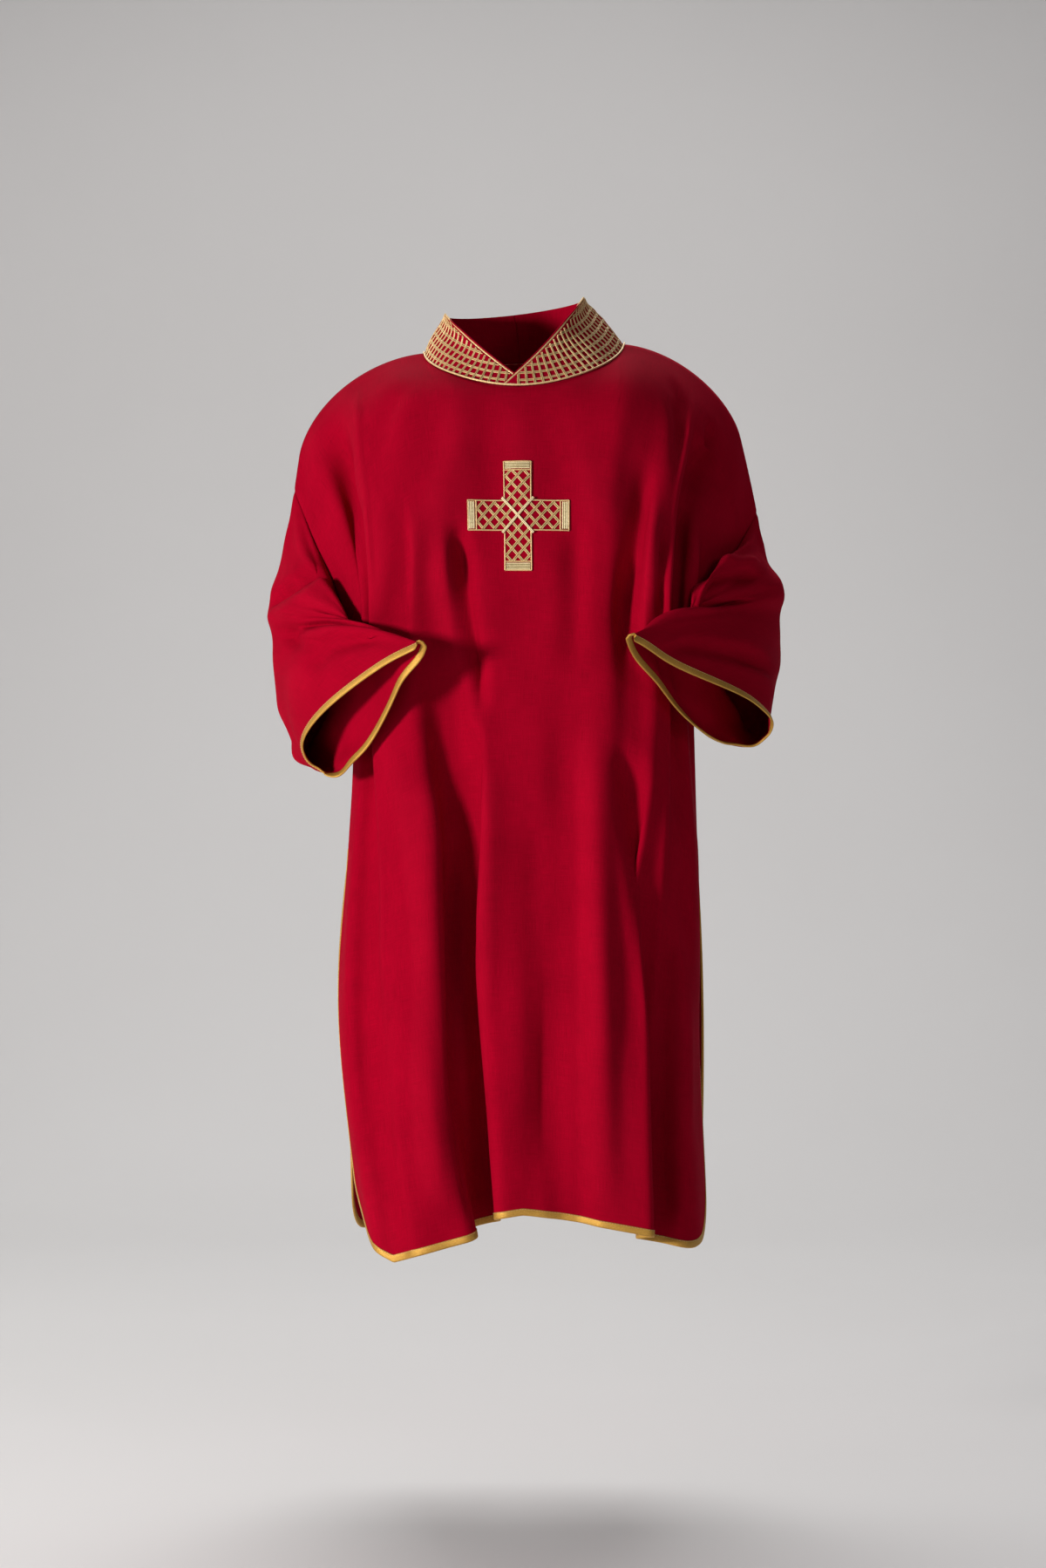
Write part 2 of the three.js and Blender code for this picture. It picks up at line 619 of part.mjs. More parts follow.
// A sleeve with its cuff braid. The armhole seam is mitred: the panels' edges and the sleeve's
// first ring share one normal, half way between theirs. The braid keeps one width all round.
function fitSleeve(side) {
  const out = side === "right" ? -1 : 1;
  const column = side === "right" ? 0 : COLUMNS.length - 1;
  const corners = armholeCorners(side === "right" ? "left" : "right");
  const loop = splitLoop(corners, (corner) => corner.point);
  const count = loop.length;
  const rim = loop.map((_, i) => sleevePoint(side, loop, i / count, 1));
  const shares = rim.map((end, i) => {
    const tangent = rim[(i + 1) % count].clone().sub(rim[(i + count - 1) % count]).normalize();
    const back = end.clone().sub(sleevePoint(side, loop, i / count, 1 - CUFF_STEP));
    return CUFF_STEP / Math.max(0.8 * back.length(), back.cross(tangent).length());
  });
  const ring = (place) => shares.map((share, i) => {
    const u = place(share);
    const point = u === 0 ? loop[i].clone() : sleevePoint(side, loop, i / count, u);
    return { point, normal: new THREE.Vector3() };
  });
  const rings = [];
  for (let j = 0; j <= SLEEVE_RINGS; j += 1) {
    rings.push(ring((share) => (j / SLEEVE_RINGS) * (1 - BRAID_WIDTH * share)));
  }
  const sleeve = new Sheet(rings, true).shapeNormals(out);
  corners.forEach((corner, i) => {
    const onwards = sleeve.points[1][2 * i].clone().sub(sleeve.points[0][2 * i]).normalize();
    corner.off.add(onwards).normalize().multiplyScalar(MITRE_GAP);
    corner.normal.add(sleeve.normals[0][2 * i]).normalize();
    for (const name of corner.sheets) panels[name].normals[corner.row][column].copy(corner.normal);
  });
  sleeve.normals[0] = splitLoop(corners, (corner) => corner.normal).map((n) => n.normalize());
  splitLoop(corners, (corner) => corner.off).forEach((off, i) => sleeve.points[0][i].add(off));
  return { sleeve, cuff: cuffSheet(sleeve, count) };
}

for (const side of ["right", "left"]) {
  const { sleeve, cuff } = fitSleeve(side);
  add(`sleeve_${side}`, sleeve.wall(CLOTH), CLOTH_RED);
  add(`braid_cuff_${side}`, cuff.wall(CLOTH + BRAID_PROUD, BRAID_PROUD), BRAID_GOLD);
}
for (const name of ["front", "back"]) add(name, panels[name].wall(CLOTH), CLOTH_RED);

// The neckline's cell at distance s from its middle, on the panel's own top edge.
function neckCell(name, s) {
  const i = clamp(COLUMNS.findIndex((column) => column > s) - 1, 0, COLUMNS.length - 2);
  const k = (s - COLUMNS[i]) / (COLUMNS[i + 1] - COLUMNS[i]);
  const [points, normals] = [panels[name].points[0], panels[name].normals[0]];
  return {
    point: points[i].clone().lerp(points[i + 1], k),
    normal: normals[i].clone().lerp(normals[i + 1], k).normalize(),
  };
}

// One half of the stand collar, from the centre back (k = 0) to its slanting front edge (k = 1).
// The base follows the neckline and the top an ellipse; v runs from the base up.
const COLLAR = {
  left: { side: 1, lapAt: -20, under: 0, corner: [84, -34, 66] },
  right: { side: -1, lapAt: 8, under: 3.2, corner: [-106, -34, 43] },
};
const COLLAR_TOP = { x: -11, y: 12, rx: 92, ry: 70, z: 56, tilt: 11, sweep: 118, swell: 7 };

// The foot of a collar half, on the neckline.
function collarBase(half, k) {
  const { side, lapAt } = COLLAR[half];
  const around = NECK_HALF * 2 - side * lapAt;
  const gone = k * around;
  if (gone < NECK_HALF) return neckCell("back", side * gone);
  return neckCell("front", side * (2 * NECK_HALF - gone));
}

// Its top edge, round the neck and out to the front corner.
function collarTop(half, k) {
  const { side, corner } = COLLAR[half];
  const angle = radians(90 - side * k * COLLAR_TOP.sweep);
  const x = COLLAR_TOP.x + COLLAR_TOP.rx * Math.cos(angle);
  const z = COLLAR_TOP.z + COLLAR_TOP.tilt * Math.cos(angle);
  const round = new THREE.Vector3(x, COLLAR_TOP.y + COLLAR_TOP.ry * Math.sin(angle), z);
  return round.lerp(new THREE.Vector3(...corner), ease(0.6, 1, k));
}

// The sheet between them, swelled outwards, with its lap tucked under the other half's.
function collarSheet(half) {
  const { side, under } = COLLAR[half];
  const rows = [];
  for (let j = 0; j <= COLLAR_ROWS; j += 1) {
    const v = j / COLLAR_ROWS;
    const row = [];
    for (let i = 0; i <= COLLAR_COLUMNS; i += 1) {
      const k = mix(0.002, 1, i / COLLAR_COLUMNS);
      const base = collarBase(half, k);
      const foot = base.point.clone().addScaledVector(base.normal, COLLAR_LIFT);
      const top = collarTop(half, k);
      const out = new THREE.Vector3(top.x - COLLAR_TOP.x, top.y - COLLAR_TOP.y, 0).normalize();
      const swell = COLLAR_TOP.swell * Math.sin(Math.PI * v);
      row.push({ point: foot.lerp(top, v).addScaledVector(out, swell), normal: out });
    }
    rows.push(row);
  }
  const sheet = new Sheet(rows).shapeNormals(-side);
  sheet.points.forEach((row, j) =>
    row.forEach((point, i) => {
      const lapped = ease(0.6, 0.86, i / COLLAR_COLUMNS) * (1 - ease(0.3, 0.8, j / COLLAR_ROWS));
      point.addScaledVector(sheet.normals[j][i], -under * lapped);
    }),
  );
  return sheet.shapeNormals(-side);
}

// A round cord along a path, closed into a ring or with flat ends.
function cord(path, radius, closed) {
  const count = path.length;
  const points = [];
  const index = [];
  path.forEach((p, i) => {
    const next = path[closed ? (i + 1) % count : Math.min(count - 1, i + 1)];
    const before = path[closed ? (i + count - 1) % count : Math.max(0, i - 1)];
    const tangent = next.clone().sub(before).normalize();
    const first = new THREE.Vector3(0, 0, 1).cross(tangent).normalize();
    const second = tangent.clone().cross(first);
    for (let c = 0; c < CORD_SIDES; c += 1) {
      const angle = (2 * Math.PI * c) / CORD_SIDES;
      const p1 = p.clone().addScaledVector(first, radius * Math.cos(angle));
      points.push(p1.addScaledVector(second, radius * Math.sin(angle)));
    }
  });
  for (let i = 0; i < (closed ? count : count - 1); i += 1) {
    for (let c = 0; c < CORD_SIDES; c += 1) {
      const d = (c + 1) % CORD_SIDES;
      const [a, b] = [i * CORD_SIDES, ((i + 1) % count) * CORD_SIDES];
      index.push(a + c, a + d, b + d, a + c, b + d, b + c);
    }
  }
  const foot = (count - 1) * CORD_SIDES;
  for (let c = 1; !closed && c < CORD_SIDES - 1; c += 1) {
    index.push(0, c + 1, c, foot, foot + c, foot + c + 1);
  }
  return solid(points, index);
}

// The collar's halves, a cord up each slanting edge and one round the foot.
const collars = { left: collarSheet("left"), right: collarSheet("right") };
for (const half of ["right", "left"]) {
  const sheet = collars[half];
  add(`collar_${half}`, sheet.wall(COLLAR_THICK), CLOTH_RED);
  const edge = sheet.points.map((row, j) => {
    const [above, below] = [Math.min(COLLAR_ROWS, j + 1), Math.max(0, j - 1)];
    const up = sheet.points[above][COLLAR_COLUMNS].clone().sub(sheet.points[below][COLLAR_COLUMNS]);
    const outward = up.cross(sheet.normals[j][COLLAR_COLUMNS]).normalize();
    outward.multiplyScalar(-COLLAR[half].side);
    const middle = row[COLLAR_COLUMNS].clone().addScaledVector(outward, CORD_RADIUS + EDGE_GAP);
    return middle.addScaledVector(sheet.normals[j][COLLAR_COLUMNS], -COLLAR_THICK / 2);
  });
  add(`cord_collar_${half}`, cord(edge, CORD_RADIUS, false), BRAID_GOLD);
}

// The cord round the collar's foot, just off the neckline of both panels.
const NECK_CENTRE = { x: -6, y: -15 };
const footLine = [
  ...COLUMNS.filter((s) => Math.abs(s) <= NECK_HALF).map((s) => neckCell("front", s)),
  ...COLUMNS.filter((s) => Math.abs(s) < NECK_HALF).reverse().map((s) => neckCell("back", s)),
];
const footCord = footLine.map(({ point, normal }) => {
  const away = new THREE.Vector3(point.x - NECK_CENTRE.x, point.y - NECK_CENTRE.y, 0).normalize();
  const off = CORD_RADIUS + FOOT_CORD_GAP;
  return point.clone().addScaledVector(normal, off).addScaledVector(away, off);
});
add("cord_foot", cord(footCord, CORD_RADIUS, true), BRAID_GOLD);

// The applied cross, laid on the front from the front's own points moved out.
const CROSS = { s: -3, t: 0.241, halfWidth: 73.5, halfHeight: 70.5, halfArm: 20, thick: 1.6, lift: 0.5 };
const CROSS_LINES = [0.52, 0.76, 1];
function crossGeometry() {
  const lines = (half) => {
    const right = [CROSS.halfArm / half, ...CROSS_LINES];
    return [...right.map((x) => -x).reverse(), 0, ...right];
  };
  const across = lines(CROSS.halfWidth).map((x) => x * CROSS.halfWidth);
  const down = lines(CROSS.halfHeight).map((x) => x * CROSS.halfHeight);
  const points = [];
  const numbers = new Map();
  const corner = (i, j) => {
    const key = `${i} ${j}`;
    if (!numbers.has(key)) {
      const [s, t] = [CROSS.s + across[i], CROSS.t + down[j] / PANELS.front.length];
      const [point, normal] = [bodyPoint("front", s, t), bodyNormal("front", s, t)];
      numbers.set(key, points.length);
      points.push(point.clone().addScaledVector(normal, CROSS.lift + CROSS.thick));
      points.push(point.clone().addScaledVector(normal, CROSS.lift));
    }
    return numbers.get(key);
  };
  const last = across.length - 1;
  const inside = (i, j) => {
    if (i < 0 || j < 0 || i >= last || j >= last) return false;
    const near = (list, at) => Math.abs(list[at] + list[at + 1]) / 2 < CROSS.halfArm;
    return near(across, i) || near(down, j);
  };
  const index = [];
  const quad = (a, b, c, d) => index.push(a, b, c, a, c, d);
  for (let j = 0; j < last; j += 1) {
    for (let i = 0; i < last; i += 1) {
      if (!inside(i, j)) continue;
      const [a, b, c, d] = [corner(i, j), corner(i + 1, j), corner(i + 1, j + 1), corner(i, j + 1)];
      quad(a, b, c, d);
      quad(a + 1, d + 1, c + 1, b + 1);
      if (!inside(i, j - 1)) quad(b, a, a + 1, b + 1);
      if (!inside(i + 1, j)) quad(c, b, b + 1, c + 1);
      if (!inside(i, j + 1)) quad(d, c, c + 1, d + 1);
      if (!inside(i - 1, j)) quad(a, d, d + 1, a + 1);
    }
  }
  return solid(points, index);
}
add("cross", crossGeometry(), BRAID_GOLD);

export default group;
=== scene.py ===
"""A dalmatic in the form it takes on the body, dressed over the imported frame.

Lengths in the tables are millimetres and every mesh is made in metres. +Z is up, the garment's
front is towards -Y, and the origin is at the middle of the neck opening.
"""

import logging
import math
from dataclasses import dataclass, field
from enum import Enum
from typing import Any, Sequence

import bpy
import numpy as np
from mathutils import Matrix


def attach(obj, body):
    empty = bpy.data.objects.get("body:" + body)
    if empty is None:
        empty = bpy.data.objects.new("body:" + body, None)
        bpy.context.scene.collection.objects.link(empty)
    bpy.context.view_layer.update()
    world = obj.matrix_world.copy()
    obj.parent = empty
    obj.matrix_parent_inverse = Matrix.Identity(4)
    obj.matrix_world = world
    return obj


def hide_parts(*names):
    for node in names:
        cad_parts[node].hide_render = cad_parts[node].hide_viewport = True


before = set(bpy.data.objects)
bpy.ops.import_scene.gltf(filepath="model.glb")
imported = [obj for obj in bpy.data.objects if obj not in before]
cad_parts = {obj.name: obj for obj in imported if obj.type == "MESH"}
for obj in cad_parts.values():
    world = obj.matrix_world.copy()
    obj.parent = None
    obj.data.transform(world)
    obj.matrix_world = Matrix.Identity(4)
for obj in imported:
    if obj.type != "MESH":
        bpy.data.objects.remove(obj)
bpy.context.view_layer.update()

LOG = logging.getLogger("dalmatic")
MM = 0.001
BODY = "root"
Array = np.ndarray

# The cut and the gaps between pieces, in millimetres.
PANEL_HALF = 415.0
NECK_HALF = 130.0
CORNER_RADIUS = 110.0
BRAID_WIDTH = 9.5
CLOTH_THICK = 1.3
COLLAR_THICK = 2.4
CORD_RADIUS = 1.3
CORD_GAP = 0.3
SEAM_HALF_GAP = 0.15
ROUNDING = 0.5
NECK_CENTRE = (-6.0, -15.0)

# Shares of a panel's length, from the shoulder line at 0 to the hem at 1.
UNDERARM = 0.34
SLIT_TOP = 0.52
SLIT_START = 0.008

# How finely the drape is traced, and its limits.
TRACE_STEPS = 166
ROW_STEPS = 200
FULLNESS_LIMIT = 1.6
FULLNESS_ROUNDS = 16
STEEPEST = 0.04
CREASE_DEPTH = 1.9
SEAM_TUCK = 0.9
SEAM_TUCK_WIDTH = 3.0

# Distances over which slopes and normals are taken: across in millimetres, the rest as shares.
SHARE_STEP = 0.002
NORMAL_ACROSS = 6.0
NORMAL_DOWN = 0.006
CUFF_STEP = 0.02
COLLAR_ROUND = 0.004
COLLAR_UP = 0.02


def clamp(x: Any, low: float, high: float) -> Any:
    """x held between low and high."""
    return np.minimum(high, np.maximum(low, x))


def mix(a: Any, b: Any, share: Any) -> Any:
    """The value that share of the way from a to b."""
    return a + (b - a) * share


def ease(start: float, end: float, x: Any) -> Any:
    """0 before start, 1 after end, and a smooth rise between."""
    k = clamp((x - start) / (end - start), 0.0, 1.0)
    return k * k * (3.0 - 2.0 * k)


def unit(vectors: Array) -> Array:
    """The vectors at length one."""
    return vectors / np.maximum(np.linalg.norm(vectors, axis=-1, keepdims=True), 1e-9)


def floats(*values: Any) -> Sequence[Array]:
    """The values as arrays of numbers, all of one shape."""
    return np.broadcast_arrays(*(np.asarray(value, float) for value in values))


def seam_tuck(away: Array) -> Array:
    """How far a seam draws the cloth in, by the distance away from it."""
    return -SEAM_TUCK * np.exp(-((away / SEAM_TUCK_WIDTH) ** 2))


def read_line(at: Any, knots: Array, points: Array) -> Array:
    """Points read off a line at some places, given the places of the line's own points."""
    return np.stack([np.interp(at, knots, points[:, c]) for c in range(3)], axis=-1)


class Side(Enum):
    """A side of the garment as seen from the front, where its right sleeve is on the LEFT."""

    LEFT = "left"
    RIGHT = "right"

    @property
    def sign(self) -> float:
        """-1 on the left and 1 on the right."""
        return -1.0 if self is Side.LEFT else 1.0


class Table:
    """Rows under named columns, read as smooth curves of the first column."""

    def __init__(self, columns: str, rows: Sequence[Sequence[float]]) -> None:
        """Keeps the rows by column.

        Args:
            columns: The columns' names, parted by spaces.
            rows: One row of numbers per knot.
        """
        names = columns.split()
        data = np.array(rows, dtype=float)
        self.knots = data[:, 0]
        self.values = {name: data[:, i] for i, name in enumerate(names)}

    def at(self, column: str, x: Any) -> Array:
        """The smooth curve of one column.

        Args:
            column: The column's name.
            x: Where to read it, along the first column.

        Returns:
            The column's value at each x.
        """
        knots, values = self.knots, self.values[column]
        last = len(knots) - 1
        i = np.searchsorted(knots[1:-1], x, side="left")
        span = knots[i + 1] - knots[i]
        k = clamp((x - knots[i]) / span, 0.0, 1.0)
        ahead = np.minimum(np.arange(last + 1) + 1, last)
        behind = np.maximum(np.arange(last + 1) - 1, 0)
        slope = (values[ahead] - values[behind]) / (knots[ahead] - knots[behind])
        p, q = values[i], values[i + 1]
        bend = slope[i] * k * (1 - k) ** 2 - slope[i + 1] * (1 - k) * k**2
        return p * (1 + 2 * k) * (1 - k) ** 2 + q * (3 - 2 * k) * k**2 + span * bend


@dataclass(frozen=True)
class Fold:
    """A fold of a panel: it turns the cloth out and back in again as it goes across.

    Each pair gives the value at the shoulder and at the hem, and grow the share of the length
    over which the fold deepens.
    """

    s: tuple[float, float]
    width: tuple[float, float]
    inner: tuple[float, float]
    outer: tuple[float, float]
    grow: tuple[float, float]

    def turn(self, s: Array, t: Array) -> Array:
        """The heading that it adds, in degrees.

        Args:
            s: Distance across from the centre line.
            t: Share of the length.

        Returns:
            The turn at each place.
        """
        x = (s - mix(*self.s, t)) / mix(*self.width, t)
        flank = np.where(x < 0, mix(*self.inner, t), mix(*self.outer, t))
        wave = np.sin(np.pi * clamp(x, -1.0, 1.0)) ** 2
        return flank * ease(*self.grow, t) * wave


SECTION = "t x y z neck tilt turn start end"
PLACE = "t x y z"

FRONT_SECTIONS = Table(SECTION, [
    (0.0, -5, 12, 2, 0, 6, 0, 0.3, 0.9),
    (0.094, -5, -108, -62, 0, 2, 38, 0.1, 0.8),
    (0.17, -5, -131, -148, 0, 0, 60, 0.25, 0.85),
    (0.26, -4, -146, -252, 0, 0, 72, 0.3, 0.85),
    (0.34, -3, -145, -346, 0, 0, 72, 0.15, 0.85),
    (0.45, -2, -148, -474, 0, 0, 75, 0.2, 0.9),
    (0.55, 0, -156, -591, 0, 0, 78, 0.35, 0.95),
    (0.75, 0, -162, -826, 0, 0, 78, 0.45, 0.95),
    (1.0, 0, -168, -1112, 0, 0, 70, 0.5, 0.95),
])
BACK_SECTIONS = Table(SECTION, [
    (0.0, -5, 12, 2, 66, 6, 0, 0.3, 0.9),
    (0.05, -4, 62, -30, 26, 4, 20, 0.2, 0.9),
    (0.1, -3, 98, -74, 8, 2, 35, 0.2, 0.9),
    (0.17, 0, 124, -148, 0, 0, 50, 0.25, 0.9),
    (0.26, 0, 138, -250, 0, 0, 65, 0.3, 0.9),
    (0.34, 0, 142, -341, 0, 0, 78, 0.35, 0.9),
    (0.45, 0, 141, -467, 0, 0, 80, 0.4, 0.95),
    (0.55, 0, 142, -582, 0, 0, 80, 0.45, 0.95),
    (0.75, 0, 147, -811, 0, 0, 80, 0.5, 0.95),
    (1.0, 0, 154, -1105, 0, 0, 75, 0.5, 0.95),
])
FRONT_FOLDS = {
    Side.LEFT: [
        Fold((300, 296), (62, 44), (60, 20), (-60, -20), (0.02, 0.14)),
        Fold((125, 105), (55, 86), (16, 66), (-16, -66), (0.2, 0.55)),
    ],
    Side.RIGHT: [
        Fold((170, 165), (55, 45), (22, 0), (-22, 0), (0.06, 0.2)),
        Fold((285, 285), (58, 40), (62, 0), (-62, 0), (0.02, 0.14)),
        Fold((72, 72), (50, 55), (0, 16), (0, -16), (0.3, 0.6)),
        Fold((230, 255), (50, 74), (0, 88), (0, -22), (0.3, 0.8)),
    ],
}
BACK_FOLDS = {
    Side.LEFT: [
        Fold((300, 290), (60, 60), (40, 20), (-40, -20), (0.04, 0.2)),
        Fold((150, 165), (50, 70), (14, 50), (-14, -50), (0.12, 0.5)),
    ],
    Side.RIGHT: [
        Fold((290, 300), (60, 60), (40, 22), (-40, -22), (0.04, 0.2)),
        Fold((140, 130), (50, 74), (14, 50), (-14, -50), (0.12, 0.5)),
    ],
}
ARMHOLES = {
    ("front", Side.LEFT): Table(PLACE, [
        (0.0, -300, 8, -186),
        (0.094, -272, -26, -252),
        (0.17, -243, -52, -315),
        (0.26, -222, -58, -392),
        (0.34, -222, 8, -462),
    ]),
    ("back", Side.LEFT): Table(PLACE, [
        (0.0, -300, 8, -186),
        (0.1, -296, 66, -262),
        (0.17, -280, 92, -322),
        (0.26, -248, 84, -402),
        (0.34, -222, 8, -462),
    ]),
    ("front", Side.RIGHT): Table(PLACE, [
        (0.0, 307, 8, -215),
        (0.094, 276, -28, -268),
        (0.17, 245, -54, -326),
        (0.26, 224, -60, -398),
        (0.34, 224, 8, -465),
    ]),
    ("back", Side.RIGHT): Table(PLACE, [
        (0.0, 307, 8, -215),
        (0.1, 302, 64, -286),
        (0.17, 285, 92, -338),
        (0.26, 252, 84, -408),
        (0.34, 224, 8, -465),
    ]),
}
SIDE_SEAMS = {
    Side.LEFT: Table(PLACE, [
        (0.34, -222, 8, -462),
        (0.45, -224, 10, -575),
        (0.52, -229, 8, -648),
    ]),
    Side.RIGHT: Table(PLACE, [
        (0.34, 224, 8, -465),
        (0.45, 227, 10, -577),
        (0.52, 229, 14, -648),
    ]),
}
SLITS = {
    ("front", Side.LEFT): Table(PLACE, [
        (0.52, -229, 8, -648),
        (0.75, -239, -10, -890),
        (1.0, -205, -66, -1202),
    ]),
    ("back", Side.LEFT): Table(PLACE, [
        (0.52, -229, 8, -648),
        (0.75, -232, 30, -890),
        (1.0, -224, 55, -1190),
    ]),
    ("front", Side.RIGHT): Table(PLACE, [
        (0.52, 229, 14, -648),
        (0.75, 230, 18, -888),
        (1.0, 241, -20, -1180),
    ]),
    ("back", Side.RIGHT): Table(PLACE, [
        (0.52, 229, 14, -648),
        (0.75, 238, 36, -890),
        (1.0, 230, 55, -1180),
    ]),
}

# A sleeve's rings by six points round the cloth: over the arm, down the inner side to the lowest
# point, and up the outer side. The key is the share of the way from the armhole to the cuff.
RIGHT_ARM_RINGS = {
    0.25: ((-320, 8, -268), (-262, -62, -285), (-232, -72, -372),
           (-258, 40, -515), (-300, 88, -440), (-322, 76, -345)),
    0.5: ((-326, -28, -335), (-232, -112, -335), (-212, -108, -410),
          (-290, 48, -550), (-318, 55, -480), (-330, 20, -395)),
    0.75: ((-205, -150, -358), (-168, -150, -410), (-210, -100, -490),
           (-268, -15, -562), (-305, -20, -500), (-292, -75, -400)),
    1.0: ((-110, -232, -386), (-153, -175, -450), (-203, -121, -539),
          (-252, -75, -562), (-292, -90, -520), (-224, -165, -452)),
}
LEFT_ARM_RINGS = {
    0.25: ((322, 5, -265), (268, -60, -266), (238, -82, -350),
           (262, 45, -500), (305, 90, -425), (325, 78, -335)),
    0.5: ((333, -25, -310), (232, -114, -300), (224, -112, -385),
          (300, 62, -517), (330, 60, -445), (339, 25, -362)),
    0.75: ((200, -150, -345), (172, -140, -400), (222, -72, -498),
           (312, 10, -522), (332, -20, -455), (285, -95, -382)),
    1.0: ((117, -232, -377), (176, -140, -460), (264, -60, -531),
          (329, -60, -502), (300, -105, -462), (186, -180, -419)),
}


@dataclass(frozen=True)
class Crease:
    """A soft ridge or trough along a line on the cloth.

    The path's points are a share or distance across and a share down, as on the piece that it
    belongs to. near and far are the widths of its two flanks, on the left and on the right of
    the path as it runs, and height is negative for a trough.
    """

    path: tuple[tuple[float, float], ...]
    height: float
    near: float
    far: float
    fade: float = 0.3

    def lift(self, across: Array, down: Array, scale: tuple[float, float], wrap: bool) -> Array:
        """How far it moves the cloth out.

        Args:
            across: Place across the piece.
            down: Place down the piece.
            scale: Millimetres for one unit of each.
            wrap: Whether across runs round a ring, from 0 to 1.

        Returns:
            The height at each place, in millimetres.
        """
        path = np.array(self.path, dtype=float)
        if wrap:
            across = across - np.round(across - path[:, 0].mean())
        best = np.full(np.shape(across), 1e9)
        side = np.zeros(np.shape(across))
        share = np.zeros(np.shape(across))
        for i in range(len(path) - 1):
            ax, ay = path[i] * scale
            bx, by = path[i + 1] * scale
            dx, dy = bx - ax, by - ay
            px, py = across * scale[0] - ax, down * scale[1] - ay
            k = clamp((px * dx + py * dy) / (dx * dx + dy * dy), 0.0, 1.0)
            away = np.hypot(px - k * dx, py - k * dy)
            closer = away < best
            best = np.where(closer, away, best)
            side = np.where(closer, dx * py - dy * px, side)
            share = np.where(closer, (i + k) / (len(path) - 1), share)
        width = np.where(side > 0, self.near, self.far)
        ends = ease(0.0, self.fade, share) * (1.0 - ease(1.0 - self.fade, 1.0, share))
        uneven = 1.0 + 0.25 * np.sin(9.0 * share + 40.0 * path[0, 0] + 3.0 * self.height)
        return CREASE_DEPTH * self.height * np.exp(-((best / width) ** 2)) * ends * uneven


# Creases of the front: s across and t down.
FRONT_CREASES = (
    Crease(((-234, 0.02), (-237, 0.1), (-239, 0.19), (-238, 0.28)), 1.7, 12.0, 2.6, 0.25),
    Crease(((232, 0.03), (233, 0.11), (238, 0.19), (240, 0.28)), 1.7, 2.6, 12.0, 0.25),
    Crease(((-166, 0.19), (-161, 0.25), (-160, 0.31), (-163, 0.38)), 3.2, 6.0, 22.0, 0.35),
    Crease(((-94, 0.24), (-85, 0.29), (-76, 0.35), (-64, 0.41), (-58, 0.47)), -9.5, 12.0, 13.0, 0.3),
    Crease(((-118, 0.24), (-110, 0.3), (-100, 0.37), (-92, 0.43)), 4.5, 18.0, 12.0, 0.35),
    Crease(((186, 0.15), (181, 0.21), (172, 0.27), (160, 0.33), (150, 0.4)), -10.0, 18.0, 10.0, 0.3),
    Crease(((203, 0.17), (199, 0.25), (190, 0.33), (182, 0.4)), 5.5, 9.0, 13.0, 0.3),
    Crease(((221, 0.2), (221, 0.26), (216, 0.33)), -6.0, 8.0, 9.0, 0.35),
    Crease(((82, 0.22), (79, 0.29), (77, 0.36), (70, 0.42)), -4.5, 20.0, 16.0, 0.35),
    Crease(((196, 0.035), (216, 0.07), (226, 0.11), (228, 0.16)), -5.0, 14.0, 8.0, 0.35),
    Crease(((-150, 0.06), (-190, 0.11), (-225, 0.18)), -3.0, 26.0, 20.0, 0.4),
    Crease(((-280, 0.05), (-312, 0.1), (-340, 0.17), (-350, 0.24), (-345, 0.3)), -7.5, 22.0, 13.0, 0.25),
    Crease(((-262, 0.1), (-276, 0.17), (-286, 0.25)), 3.5, 12.0, 14.0, 0.35),
    Crease(((268, 0.045), (282, 0.085), (292, 0.13)), -6.5, 8.0, 14.0, 0.35),
    Crease(((290, 0.13), (304, 0.18), (312, 0.25), (306, 0.31)), -8.5, 10.0, 16.0, 0.3),
    Crease(((330, 0.13), (344, 0.18), (350, 0.24)), 3.5, 12.0, 12.0, 0.35),
    Crease(((-60, 0.1), (-110, 0.2), (-132, 0.3)), 2.4, 30.0, 26.0, 0.4),
    Crease(((60, 0.12), (104, 0.2), (128, 0.28)), 2.6, 26.0, 30.0, 0.4),
    Crease(((-66, 0.46), (-74, 0.6), (-88, 0.78), (-98, 1.02)), -9.0, 19.0, 9.0, 0.12),
    Crease(((-48, 0.5), (-56, 0.64), (-68, 0.8), (-78, 1.02)), 4.5, 8.0, 20.0, 0.15),
    Crease(((156, 0.47), (182, 0.58), (212, 0.7), (248, 0.84), (284, 1.02)), -11.0, 20.0, 30.0, 0.12),
    Crease(((26, 0.5), (32, 0.66), (36, 0.84), (36, 1.04)), -7.0, 32.0, 28.0, 0.3),
    Crease(((108, 0.45), (115, 0.6), (122, 0.8), (130, 1.02)), 6.0, 24.0, 22.0, 0.2),
    Crease(((-122, 0.58), (-142, 0.74), (-164, 0.88), (-176, 1.04)), -8.0, 16.0, 18.0, 0.25),
    Crease(((-162, 0.5), (-178, 0.64), (-202, 0.82), (-216, 1.0)), 5.0, 26.0, 20.0, 0.2),
    Crease(((-240, 0.54), (-256, 0.7), (-272, 0.9)), -4.0, 26.0, 20.0, 0.3),
    Crease(((286, 0.6), (300, 0.75), (310, 0.9)), 4.0, 16.0, 16.0, 0.3),
    Crease(((-300, 0.62), (-318, 0.78), (-330, 0.92)), -3.5, 20.0, 24.0, 0.35),
)
